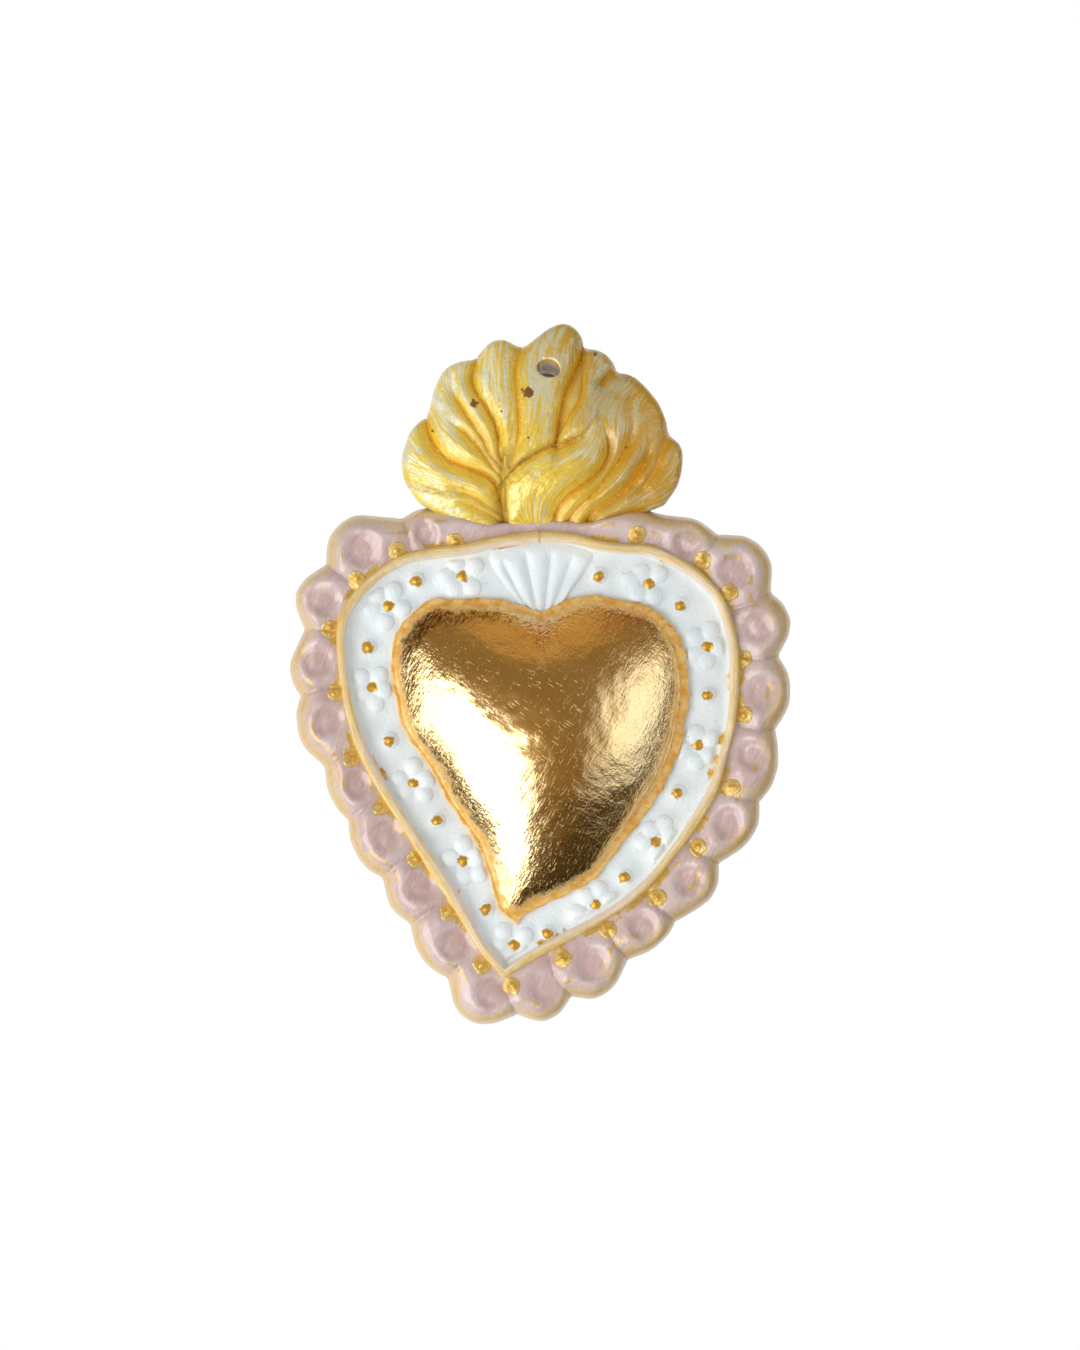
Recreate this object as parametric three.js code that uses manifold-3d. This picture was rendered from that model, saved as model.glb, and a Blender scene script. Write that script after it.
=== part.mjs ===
// A ceramic sacred heart for the wall: a gilt, hollow heart on a white field with flowers and
// pearls, a narrow rim, a scalloped border of pressed lobes, and a crown of flames that carries
// the hanging hole. Each solid is one clay part as it was formed before the parts were stuck
// together and fired. Sizes are millimetres.
//
// The parts are laid out on the bench, face up: X to the right, Y towards the flames, Z up from
// the bench. The last lines stand the ornament up with its back on the wall plane. The origin is
// the back mouth of the hanging hole, where the nail leaves the wall.
import * as THREE from 'three';
import { mergeVertices } from 'three/addons/utils/BufferGeometryUtils.js';
import Module from 'manifold-3d';

const wasm = await Module();
wasm.setup();

// Driving dimensions
const WIDTH = 143;              // over the lobes
const HEIGHT = 200;             // from the lowest lobe to the highest flame
const SLAB_THICKNESS = 5;       // clay against the wall
const SLAB_INSET = 1;           // the slab's edge lies inside the border's
const FIELD_THICKNESS = 4;      // white plate on the slab
const GROUND_THICKNESS = 6;     // border beside the rim, on the slab
const GROUND_WIDTH = 8;         // flat part of the border, from the rim line outwards
const LOBE_RISE = 2;            // crest of a lobe above the ground
const LOBE_WALL = 3.2;          // clay between a dish and the lobe's outer edge
const LOBE_OVERLAP = 0.8;       // how far two lobes run into each other at their seam
const DISH_DEPTH = 3.8;         // thumbed dish, below the crest
const RIM_WIDTH = 3;
const RIM_HEIGHT = 4.6;         // above the field
const FLANGE_WIDTH = 3;         // flat edge round the puffed heart
const FLANGE_THICKNESS = 1.5;
const DOME_RISE = 16.5;         // puffed heart above its flange
const DOME_WALL = 5;            // clay at the top of the dome
const SEAT_WIDTH = 6;           // foot of the shell on the field, halfway down its side
const FLOWER_RISE = 1.9;        // petals above the field
const PEARL_RADIUS = 2.4;
const PEARL_RISE = 2;
const STUD_RADIUS = 1.75;
const STUD_RISE = 2.8;          // above its seat
const STUD_SEAT = 0.4;          // depth of a stud's seat in the border
const FAN_RISE = 2.6;           // ribs of the fan above the field
const FLAME_BASE = 4.5;         // plate under the tongues of flame
const HOLE_RADIUS = 3.5;
const HOLE_FALL = 22;           // degrees, the hole falls towards the wall
const CLEARANCE = 0.3;          // between clay parts that stand beside each other
const SLIP = 0.05;              // slip under a stud
const SLIVER = 0.02;            // slivers that joins and cuts leave are closed up to this size

// Heights above the wall plane
const slabTop = SLAB_THICKNESS;
const fieldTop = slabTop + FIELD_THICKNESS;
const groundTop = slabTop + GROUND_THICKNESS;
const lobeTop = groundTop + LOBE_RISE;
const flangeTop = fieldTop + FLANGE_THICKNESS;
const studSeat = groundTop - STUD_SEAT;
const wellAbove = fieldTop + 60;

// The outlines are drawn for an ornament 143 wide and 200 high, seen from the front. Another width
// or height stretches them, away from the back mouth of the hanging hole.
const DRAWN_WIDTH = 143;
const DRAWN_HEIGHT = 200;
const DRAWN_MOUTH = [0, -9];    // the back mouth in the drawing
const place = ([x, y]) => new THREE.Vector2((x - DRAWN_MOUTH[0]) * WIDTH / DRAWN_WIDTH,
  (y - DRAWN_MOUTH[1]) * HEIGHT / DRAWN_HEIGHT);

const HEART_CENTRE = place([-3, -100]);

// Middle of the rim, clockwise from the top to the tip and back up on the left
const RIM_RIGHT = [[-2.5, -50.5], [14.5, -53], [29, -54.5], [43, -62], [51.5, -76], [53, -94.5],
  [49.5, -114.5], [44, -129], [36, -140.5], [25.5, -152], [12, -161.5], [-12.5, -175]];
const RIM_LEFT = [[-12.5, -175], [-23, -160.5], [-42.5, -130], [-53, -111.5], [-58, -93],
  [-59, -76.5], [-52.5, -65], [-39.5, -56.5], [-23, -54], [-2.5, -50.5]];

// Edge of the puffed heart's flange, from the cleft to the tip and back
const HEART_RIGHT = [[-2, -72], [9, -67.5], [22.5, -69], [34, -75], [39.5, -87], [39, -103.5],
  [33, -121.5], [22, -137], [7.5, -151.5], [-9, -161]];
const HEART_LEFT = [[-9, -161], [-16.5, -148.5], [-24.5, -132], [-37, -112], [-43.5, -97],
  [-44.5, -81], [-38.5, -72], [-26.5, -68.5], [-14, -68.5], [-2, -72]];

// Lobes, anticlockwise from the left of the flames: the notch where a lobe ends, how far its edge
// bulges past the straight line between its notches, and the radius of its dish
const FIRST_NOTCH = [-24, -41];
const LOBES = [
  [-42, -45.5, 4.5, 3.4], [-62.5, -59.5, 8.5, 5.4], [-70, -77, 6.3, 4.6], [-71, -95.5, 3.6, 4.6],
  [-64, -115, 4.4, 4.3], [-57, -131, 2.7, 3.7], [-47, -147.5, 3.4, 4.6], [-38.5, -160.5, 2.6, 4.3],
  [-28.5, -176, 3.1, 4.8], [-10, -187, 6.8, 4.8], [6.5, -181.5, 4.3, 5.1], [22.5, -170.5, 4.6, 5.1],
  [36, -160, 3.1, 4.8], [48.5, -143, 4.3, 4.8], [60, -125.5, 4.6, 4.6], [64.5, -105.5, 3.1, 4.8],
  [65.5, -84.5, 4, 4.8], [63, -67, 4.8, 4.8], [48, -50, 7.4, 5.1], [30, -43, 2.3, 4.3],
];

const FLOWERS = [[-24.5, -62], [-45.5, -70.5], [-50.5, -93.5], [-38.5, -121], [-24.5, -143],
  [-10, -167], [11.5, -154.5], [30.5, -137.5], [42.5, -110], [45, -82], [29, -63]];
const PEARLS = [[-37.5, -63], [-51, -82], [-45, -108.5], [-31.5, -131.5], [-17.5, -156.5],
  [0, -163.5], [22, -147.5], [37, -123.5], [45.5, -95.5], [38, -70], [14.5, -61.5]];
const STUDS = [[-26.5, -50.5], [-43, -54.5], [-54.5, -61.5], [-63, -77], [-61, -95], [-56.5, -113.5],
  [-47.5, -129], [-38, -143], [-28.5, -158.5], [-19, -173.5], [-10.5, -179.5], [4, -171], [17, -163],
  [31, -153.5], [42.5, -140], [52, -122], [56.5, -101.5], [57, -84.5], [52.5, -66.5], [43, -57],
  [26, -50]];

// The fan's ribs spread from a point below the cleft
const FAN_APEX = [-2, -79];
const FAN_REACH = 26;
const FAN_RIBS = 6;
const FAN_FIRST_RIB = -35.5;    // degrees from straight up, to the left
const FAN_PITCH = 12.1;         // degrees from rib to rib

// Outline of the crown of flames. Its foot runs down under the rim.
const FLAMES = [[-32, -47], [-36.5, -41.5], [-40, -35], [-41.5, -26], [-38.5, -19.5], [-34.5, -16],
  [-33, -8], [-30, -3], [-24, -0.5], [-20.5, 0], [-17, 4.5], [-12, 5.5], [-8, 3], [-3, 6], [1, 9.5],
  [4.5, 10.5], [8, 8.5], [10, 3], [14, 3], [18.5, -2], [24.5, -5], [31, -11], [34, -21], [38, -25.5],
  [37, -35], [33, -41.5], [26, -45]];
const FLAME_FOOT = [[20, -50], [10, -56], [-2.5, -56], [-15, -56], [-26, -52]];

// Tongues of flame from root to tip: half widths along each, and how high its crest stands
const TONGUES = [
  { line: [[-14, -44.5], [-22.5, -43], [-31, -41], [-38, -38]], half: [1.5, 2.4, 2.6, 2], crest: 6.5 },
  { line: [[-14, -41], [-22.5, -36], [-32.5, -30], [-40, -22]], half: [2, 5.4, 7, 5.4], crest: 10 },
  { line: [[-14, -36], [-21, -28], [-28, -22.5], [-36, -15.5]], half: [1.5, 4, 5, 4.5], crest: 11 },
  { line: [[-14, -30], [-19.5, -22], [-25, -15], [-31, -4]], half: [1.2, 3.2, 4.6, 5], crest: 10 },
  { line: [[-13.5, -27.5], [-17.5, -16], [-22.5, -9.5], [-25, 0.5]], half: [1.2, 3.2, 3.6, 3.8],
    crest: 9.5 },
  { line: [[-12, -29], [-11, -17.5], [-14, -9], [-14.5, 6.5]], half: [1.4, 3.6, 6, 5.6],
    crest: 11.5 },
  { line: [[-6.5, -29], [-3.5, -17.5], [-1, -7.5], [4.5, 10.5]], half: [4, 6.6, 7.4, 5.6],
    crest: 12.5 },
  { line: [[4, -23], [7.5, -16], [12, -7.5], [15.5, 3]], half: [1.5, 4, 5.2, 5], crest: 11 },
  { line: [[7.5, -23], [14.5, -16], [20, -10], [26, -4]], half: [2, 4.6, 5.6, 5.5], crest: 10.5 },
  { line: [[-4, -44.5], [-1, -34.5], [7.5, -29], [14, -21.5]], half: [7.4, 8, 5.4, 2.8], crest: 14 },
  { line: [[4, -43.5], [14.5, -35], [20.5, -26], [20, -14]], half: [2, 3.8, 4.6, 4.8], crest: 12 },
  { line: [[9, -44.5], [19, -36], [26, -26], [27.5, -9]], half: [1.6, 3.4, 4.4, 5], crest: 11 },
  { line: [[13.5, -45], [24.5, -37.5], [31, -27.5], [33.5, -14]], half: [1.4, 3.4, 3.4, 3.4],
    crest: 9.5 },
  { line: [[16, -46], [27.5, -40], [34.5, -33], [38, -23]], half: [1.4, 3.2, 4.2, 4.2], crest: 8 },
];

const GOLD_LEAF = { color: 0xc8963c, roughness: 0.3, metalness: 1 };
const GOLD_PAINT = { color: 0xc79f45, roughness: 0.5, metalness: 0.6 };
const WHITE_GLAZE = { color: 0xe6ecee, roughness: 0.5, metalness: 0 };
const PINK_GLAZE = { color: 0xd2b0b9, roughness: 0.55, metalness: 0 };
const FLAME_PAINT = { color: 0xd8c277, roughness: 0.5, metalness: 0.3 };
const BARE_CLAY = { color: 0xdcd2c2, roughness: 0.85, metalness: 0 };

// Curves and loops

const splinePoints = (points, steps) => new THREE.SplineCurve(points.map(place)).getPoints(steps);

// A closed outline of two splines that meet at sharp or smooth ends
const twoSided = (right, left, steps) =>
  [...splinePoints(right, steps).slice(0, -1), ...splinePoints(left, steps).slice(0, -1)];

// The outlines run clockwise, so the outward normal is to the left of the direction of travel
const offsetLoop = (loop, distance) => loop.map((point, i) => {
  const before = loop.at(i - 1);
  const after = loop[(i + 1) % loop.length];
  const into = point.clone().sub(before).normalize();
  const out = after.clone().sub(point).normalize();
  const normal = new THREE.Vector2(-into.y - out.y, into.x + out.x).normalize();
  const mitre = Math.max(0.5, normal.dot(new THREE.Vector2(-into.y, into.x)));
  return point.clone().addScaledVector(normal, distance / mitre);
});

const towardsCentre = (loop, share) => loop.map(point => point.clone().lerp(HEART_CENTRE, share));

// Nearest point of a closed loop
function nearestOn(loop, point) {
  let best = null;
  for (let i = 0; i < loop.length; i += 1) {
    const start = loop[i];
    const edge = loop[(i + 1) % loop.length].clone().sub(start);
    const along = THREE.MathUtils.clamp(point.clone().sub(start).dot(edge) / edge.lengthSq(), 0, 1);
    const foot = start.clone().addScaledVector(edge, along);
    const distance = foot.distanceTo(point);
    if (!best || distance < best.distance) best = { foot, distance };
  }
  return best;
}

// Moves a point straight away from a loop until it lies at least that far off
function keepOff(point, loop, distance) {
  const near = nearestOn(loop, point);
  if (near.distance >= distance) return point;
  const away = point.clone().sub(near.foot).normalize();
  return near.foot.clone().addScaledVector(away, distance);
}

// Solids

function solidOf(geometry) {
  const plain = geometry.clone();
  plain.deleteAttribute('normal');
  plain.deleteAttribute('uv');
  const merged = mergeVertices(plain, 1e-4);
  return new wasm.Manifold(new wasm.Mesh({
    numProp: 3,
    vertProperties: new Float32Array(merged.attributes.position.array),
    triVerts: new Uint32Array(merged.index.array),
  }));
}

const join = solids => solids.reduce((whole, solid) => whole.add(solid));
const cut = (solid, ...tools) => tools.reduce((left, tool) => left.subtract(tool), solid);

// A prism over a loop between two heights
function prism(loop, low, high) {
  const geometry = new THREE.ExtrudeGeometry(new THREE.Shape(loop),
    { depth: high - low, bevelEnabled: false });
  return solidOf(geometry.translate(0, 0, low));
}

// A closed skin through rings of equal count, each an array of Vector3 running anticlockwise as
// seen from above, from the lowest ring to the last
function ringLoft(rings) {
  const count = rings[0].length;
  const positions = rings.flat().flatMap(point => [point.x, point.y, point.z]);
  const triangles = [];
  for (let r = 0; r + 1 < rings.length; r += 1) {
    for (let i = 0; i < count; i += 1) {
      const a = r * count + i;
      const b = r * count + (i + 1) % count;
      triangles.push(a, b, a + count, b, b + count, a + count);
    }
  }
  const cap = (ring, first, flip) => {
    const flat = ring.map(point => new THREE.Vector2(point.x, point.y));
    for (const [a, b, c] of THREE.ShapeUtils.triangulateShape(flat, [])) {
      triangles.push(...(flip ? [first + c, first + b, first + a] : [first + a, first + b, first + c]));
    }
  };
  cap(rings[0], 0, true);
  cap(rings.at(-1), (rings.length - 1) * count, false);
  const geometry = new THREE.BufferGeometry();
  geometry.setAttribute('position', new THREE.Float32BufferAttribute(positions, 3));
  geometry.setIndex(triangles);
  return solidOf(geometry);
}

const liftLoop = (loop, z) => loop.map(point => new THREE.Vector3(point.x, point.y, z));

// A ridge swept round a closed loop. The section is a list of [outwards, z] from the inner foot
// over the crest to the outer foot.
function ridge(loop, section) {
  const lines = section.map(([outwards, z]) => liftLoop(offsetLoop(loop, outwards), z));
  const count = loop.length;
  const positions = lines.flat().flatMap(point => [point.x, point.y, point.z]);
  const triangles = [];
  for (let s = 0; s < section.length; s += 1) {
    const next = (s + 1) % section.length;
    for (let i = 0; i < count; i += 1) {
      const a = s * count + i;
      const b = s * count + (i + 1) % count;
      const c = next * count + i;
      const d = next * count + (i + 1) % count;
      triangles.push(a, b, c, b, d, c);
    }
  }
  const geometry = new THREE.BufferGeometry();
  geometry.setAttribute('position', new THREE.Float32BufferAttribute(positions, 3));
  geometry.setIndex(triangles);
  return solidOf(geometry);
}

// A low dome on a flat foot
function dome(centre, radius, foot, rise, sides) {
  const profile = [[0, 0], [1, 0], [0.78, 0.68], [0, 1]];
  const points = profile.map(([out, up]) => new THREE.Vector2(out * radius, up * rise));
  const geometry = new THREE.LatheGeometry(points, sides);
  geometry.rotateX(Math.PI / 2);
  return solidOf(geometry.translate(centre.x, centre.y, foot));
}

const group = new THREE.Group();

function addPart(name, solid, look) {
  const { vertProperties, triVerts } = solid.simplify(SLIVER).getMesh();
  const geometry = new THREE.BufferGeometry();
  geometry.setAttribute('position', new THREE.BufferAttribute(vertProperties, 3));
  geometry.setIndex(new THREE.BufferAttribute(triVerts, 1));
  geometry.computeVertexNormals();
  const mesh = new THREE.Mesh(geometry, new THREE.MeshStandardMaterial(look));
  mesh.name = name;
  group.add(mesh);
}

const numbered = (name, i) => `${name}_${String(i + 1).padStart(2, '0')}`;

// Shared outlines
const rimLine = twoSided(RIM_RIGHT, RIM_LEFT, 32);
const heartEdge = twoSided(HEART_RIGHT, HEART_LEFT, 20);
const flameFoot = FLAME_FOOT.map(place);

// A point on a rib of the fan, counted from the left, at a share of the fan's reach
function onFan(rib, share) {
  const angle = THREE.MathUtils.degToRad(FAN_FIRST_RIB + rib * FAN_PITCH);
  return place([FAN_APEX[0] + share * FAN_REACH * Math.sin(angle),
    FAN_APEX[1] + share * FAN_REACH * Math.cos(angle)]);
}

const fanEdge = [onFan(0, 0), ...Array.from({ length: FAN_RIBS + 1 }, (_, i) => onFan(i - 0.5, 1))];
const flameEdge = [...new THREE.SplineCurve(FLAMES.map(place)).getPoints(52), ...flameFoot];

// The hollow behind the heart: its mouth leaves a foot of clay round the shell
const heartHalfWidth = (Math.max(...heartEdge.map(p => p.x)) - Math.min(...heartEdge.map(p => p.x))) / 2;
const hollowShare = SEAT_WIDTH / heartHalfWidth;
const hollowMouth = towardsCentre(heartEdge, hollowShare);
const hollowCut = prism(hollowMouth, -1, wellAbove);

// Space of the field and the rim, kept free by the clay round them
const rimSpace = join([
  prism(offsetLoop(rimLine, CLEARANCE), slabTop - 1, fieldTop),
  prism(offsetLoop(rimLine, RIM_WIDTH / 2 + CLEARANCE), fieldTop, wellAbove),
]);

const hangingHole = (() => {
  const length = 4 * (SLAB_THICKNESS + FLAME_BASE + 15);
  const geometry = new THREE.CylinderGeometry(HOLE_RADIUS, HOLE_RADIUS, length, 20);
  geometry.rotateX(Math.PI / 2 - THREE.MathUtils.degToRad(HOLE_FALL));
  return solidOf(geometry);
})();

// A lobe of the border: where its dish lies and how far its clay reaches round the dish
function lobeFrom(start, end, bulge, dishRadius) {
  const chord = end.clone().sub(start);
  const outwards = new THREE.Vector2(chord.y, -chord.x).normalize();
  const middle = start.clone().lerp(end, 0.5);
  const arcRadius = (chord.length() ** 2 / 4 + bulge ** 2) / (2 * bulge);
  const arcCentre = middle.clone().addScaledVector(outwards, bulge - arcRadius);
  const centre = middle.clone().addScaledVector(outwards, bulge - LOBE_WALL - dishRadius);
  return { start, end, arcRadius, arcCentre, centre, dishRadius };
}

// Distance from a lobe's centre to its outer arc, along a direction
function toArc(lobe, direction) {
  const fromArc = lobe.centre.clone().sub(lobe.arcCentre);
  const along = fromArc.dot(direction);
  return -along + Math.sqrt(along ** 2 + lobe.arcRadius ** 2 - fromArc.lengthSq());
}

// Distance to the seam that runs from a notch towards the heart, along a direction
function toSeam(lobe, notch, direction) {
  const inwards = HEART_CENTRE.clone().sub(notch).normalize();
  const across = new THREE.Vector2(-inwards.y, inwards.x);
  const gap = notch.clone().sub(lobe.centre).dot(across);
  const speed = direction.dot(across);
  return gap * speed > 0 ? gap / speed + LOBE_OVERLAP : Infinity;
}

function lobeEdge(lobe, inset, sides) {
  const corner = 14;            // higher turns the corners at the notches sharper
  const inner = lobe.dishRadius + LOBE_WALL / 2;
  return Array.from({ length: sides }, (_, i) => {
    const angle = 2 * Math.PI * i / sides;
    const direction = new THREE.Vector2(Math.cos(angle), Math.sin(angle));
    const facing = direction.dot(lobe.centre.clone().sub(HEART_CENTRE).normalize());
    const limits = [toArc(lobe, direction), toSeam(lobe, lobe.start, direction),
      toSeam(lobe, lobe.end, direction), facing < 0 ? inner / Math.abs(facing) : Infinity];
    const reach = limits.reduce((sum, limit) => sum + limit ** -corner, 0) ** (-1 / corner);
    return lobe.centre.clone().addScaledVector(direction, reach - inset);
  });
}

const LOBE_SIDES = 16;
const notches = [FIRST_NOTCH, ...LOBES].map(place);
const lobes = LOBES.map(([, , bulge, dish], i) => lobeFrom(notches[i], notches[i + 1], bulge, dish));

function lobeSolid(lobe) {
  const edge = lobeEdge(lobe, 0, LOBE_SIDES);
  const dishRing = share => edge.map(point =>
    lobe.centre.clone().addScaledVector(point.clone().sub(lobe.centre).normalize(),
      lobe.dishRadius * share));
  const between = (outerShare) => edge.map((point, i) =>
    dishRing(1)[i].clone().lerp(point, outerShare));
  const side = lobeTop - slabTop;
  return ringLoft([
    liftLoop(edge, slabTop),
    liftLoop(edge, slabTop + 0.45 * side),
    liftLoop(between(0.85), slabTop + 0.8 * side),
    liftLoop(between(0.35), lobeTop),
    liftLoop(dishRing(0.9), lobeTop - 0.25 * DISH_DEPTH),
    liftLoop(dishRing(0.5), lobeTop - DISH_DEPTH),
  ]);
}

function backSlab() {
  const lobeFeet = lobes.map(lobe => prism(lobeEdge(lobe, SLAB_INSET, 12), 0, slabTop));
  const ground = prism(offsetLoop(rimLine, GROUND_WIDTH), 0, slabTop);
  const flames = prism(offsetLoop(flameEdge, -1.5 * SLAB_INSET), 0, slabTop);
  return cut(join([ground, flames, ...lobeFeet]), hollowCut, hangingHole);
}

const innerField = () => cut(prism(rimLine, slabTop, fieldTop), hollowCut);

const studPlaces = STUDS.map(point =>
  keepOff(place(point), rimLine, RIM_WIDTH / 2 + CLEARANCE + STUD_RADIUS));

function scallopedBorder() {
  const ground = prism(offsetLoop(rimLine, GROUND_WIDTH), slabTop, groundTop);
  const flameSpace = prism(offsetLoop(flameEdge, CLEARANCE), slabTop - 1, wellAbove);
  const seats = studPlaces.map(centre => {
    const radius = STUD_RADIUS + CLEARANCE;
    const geometry = new THREE.CylinderGeometry(radius, radius, 20, 8).rotateX(Math.PI / 2);
    return solidOf(geometry.translate(centre.x, centre.y, studSeat + 10));
  });
  return cut(join([ground, ...lobes.map(lobeSolid)]), rimSpace, flameSpace, ...seats);
}

function rimBand() {
  const half = RIM_WIDTH / 2;
  return ridge(rimLine, [[-half, fieldTop], [-0.9 * half, fieldTop + 0.6 * RIM_HEIGHT],
    [-0.5 * half, fieldTop + 0.92 * RIM_HEIGHT], [0, fieldTop + RIM_HEIGHT],
    [0.5 * half, fieldTop + 0.92 * RIM_HEIGHT], [0.9 * half, fieldTop + 0.6 * RIM_HEIGHT],
    [half, fieldTop]]);
}

// A puffed heart over a loop: the rings start as the heart and turn rounder towards the top
function puffedHeart(loop, foot, rise, steps) {
  const round = (Math.max(...loop.map(p => p.x)) - Math.min(...loop.map(p => p.x))) / 2;
  const rings = [];
  for (let step = 0; step < steps; step += 1) {
    const climb = 0.5 * Math.PI * step / steps;
    const share = Math.cos(climb);
    rings.push(liftLoop(loop.map(point => {
      const spoke = point.clone().sub(HEART_CENTRE);
      const roundness = 0.8 * (1 - share);
      const reach = THREE.MathUtils.lerp(spoke.length(), round, roundness);
      return HEART_CENTRE.clone().addScaledVector(spoke.normalize(), reach * share);
    }), foot + rise * Math.sin(climb)));
  }
  rings.push(rings.at(-1).map(point => new THREE.Vector3(
    THREE.MathUtils.lerp(HEART_CENTRE.x, point.x, 0.3),
    THREE.MathUtils.lerp(HEART_CENTRE.y, point.y, 0.3), foot + rise)));
  return rings;
}

function heartBoss() {
  const anticlockwise = loop => [...loop].reverse();
  const domeEdge = towardsCentre(heartEdge, FLANGE_WIDTH / heartHalfWidth);
  const outside = ringLoft([
    liftLoop(anticlockwise(heartEdge), fieldTop),
    liftLoop(anticlockwise(heartEdge), flangeTop - 0.2),
    ...puffedHeart(anticlockwise(domeEdge), flangeTop, DOME_RISE, 6),
  ]);
  const hollowTop = flangeTop + DOME_RISE - DOME_WALL;
  const inside = ringLoft([
    liftLoop(anticlockwise(hollowMouth), fieldTop - 1),
    ...puffedHeart(anticlockwise(hollowMouth), fieldTop, hollowTop - fieldTop, 4),
  ]);
  return cut(outside, inside);
}

// A rib or tongue along a line: half widths and crest heights at even steps, flat underneath
function tongue(points, halfWidths, crests, foot) {
  const curve = new THREE.SplineCurve(points);
  const steps = halfWidths.length - 1;
  const section = [[1, 0], [0.85, 0.5], [0.45, 0.9], [0, 1], [-0.45, 0.9], [-0.85, 0.5], [-1, 0]];
  const rings = halfWidths.map((half, i) => {
    const point = curve.getPoint(i / steps);
    const tangent = curve.getTangent(i / steps);
    return section.map(([side, up]) => new THREE.Vector3(point.x + side * half * tangent.y,
      point.y - side * half * tangent.x, foot + up * crests[i]));
  });
  return sweptRings(rings);
}

// A closed skin through rings that stand upright along a line
function sweptRings(rings) {
  const count = rings[0].length;
  const positions = rings.flat().flatMap(point => [point.x, point.y, point.z]);
  const triangles = [];
  for (let r = 0; r + 1 < rings.length; r += 1) {
    for (let i = 0; i < count; i += 1) {
      const a = r * count + i;
      const b = r * count + (i + 1) % count;
      triangles.push(a, a + count, b, b, a + count, b + count);
    }
  }
  const last = (rings.length - 1) * count;
  for (let i = 1; i + 1 < count; i += 1) {
    triangles.push(0, i, i + 1, last, last + i + 1, last + i);
  }
  const geometry = new THREE.BufferGeometry();
  geometry.setAttribute('position', new THREE.Float32BufferAttribute(positions, 3));
  geometry.setIndex(triangles);
  return solidOf(geometry);
}

function shellFan() {
  const stations = [0.2, 0.5, 0.85, 1];
  const crests = [0.8, 1, 1, 0.5].map(share => share * FAN_RISE);
  const halfPitch = Math.tan(THREE.MathUtils.degToRad(FAN_PITCH / 2));
  const halfEnd = 1.06 * halfPitch * FAN_REACH * WIDTH / DRAWN_WIDTH;
  const halfWidths = stations.map(share => (share < 1 ? share : 0.6) * halfEnd);
  const ribs = Array.from({ length: FAN_RIBS }, (_, i) =>
    tongue([onFan(i, stations[0]), onFan(i, 1)], halfWidths, crests, fieldTop));
  return cut(join(ribs), prism(offsetLoop(heartEdge, CLEARANCE), 0, wellAbove));
}

function flameCrown() {
  const base = prism(flameEdge, slabTop, slabTop + FLAME_BASE);
  const stations = [0, 0.15, 0.35, 0.55, 0.75, 0.9, 1];
  const tongues = TONGUES.map(({ line, half, crest }) => {
    const widths = new THREE.SplineCurve(half.map((value, i) => new THREE.Vector2(i, value)));
    const halfWidths = stations.map(t => widths.getPoint(t).y * Math.sqrt(1.05 - t ** 6));
    const crests = stations.map(t => crest * (0.8 + 0.6 * t - 0.75 * t * t));
    return tongue(line.map(place), halfWidths, crests, slabTop);
  });
  const limits = prism(flameEdge, 0, wellAbove);
  return cut(join([base, ...tongues]).intersect(limits), rimSpace, hangingHole);
}

function flower(centre, turn) {
  const reach = Math.min(nearestOn(heartEdge, centre).distance,
    nearestOn(rimLine, centre).distance - RIM_WIDTH / 2,
    nearestOn(fanEdge, centre).distance - CLEARANCE / 2) - CLEARANCE;
  const petals = [];
  for (let i = 0; i < 5; i += 1) {
    const angle = turn + 2 * Math.PI * i / 5;
    const out = new THREE.Vector2(Math.cos(angle), Math.sin(angle)).multiplyScalar(0.58 * reach);
    petals.push(dome(centre.clone().add(out), 0.42 * reach, fieldTop, FLOWER_RISE, 6));
  }
  return join([dome(centre, 0.36 * reach, fieldTop, 1.4 * FLOWER_RISE, 6), ...petals]);
}

addPart('back_slab', backSlab(), BARE_CLAY);
addPart('inner_field', innerField(), WHITE_GLAZE);
addPart('scalloped_border', scallopedBorder(), PINK_GLAZE);
addPart('rim_band', rimBand(), GOLD_PAINT);
addPart('heart_boss', heartBoss(), GOLD_LEAF);
addPart('shell_fan', shellFan(), WHITE_GLAZE);
addPart('flame_crown', flameCrown(), FLAME_PAINT);
FLOWERS.forEach((point, i) => {
  addPart(numbered('flower', i), flower(place(point), 0.4 * i), WHITE_GLAZE);
});
PEARLS.forEach((point, i) => {
  const room = PEARL_RADIUS + CLEARANCE;
  const centre = keepOff(keepOff(place(point), rimLine, RIM_WIDTH / 2 + room), heartEdge, room);
  addPart(numbered('pearl', i), dome(centre, PEARL_RADIUS, fieldTop, PEARL_RISE, 8), WHITE_GLAZE);
});
studPlaces.forEach((centre, i) => {
  addPart(numbered('stud', i), dome(centre, STUD_RADIUS, studSeat + SLIP, STUD_RISE, 8), GOLD_PAINT);
});

// Stand the ornament up: the bench's Y becomes up, and its Z points away from the wall
group.rotation.x = Math.PI / 2;
group.updateMatrixWorld(true);

export default group;
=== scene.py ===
"""A ceramic sacred heart for the wall, painted and gilded, as it hangs in front of a white ground.

Shapes are worked out in the bench frame of the clay worker: x to the right, y towards the
flames, z out from the wall, in millimetres. The pieces are then moved so that the origin is the
back mouth of the hanging hole.
"""
import math

import bpy
import numpy as np
from mathutils import Euler, Matrix


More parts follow.
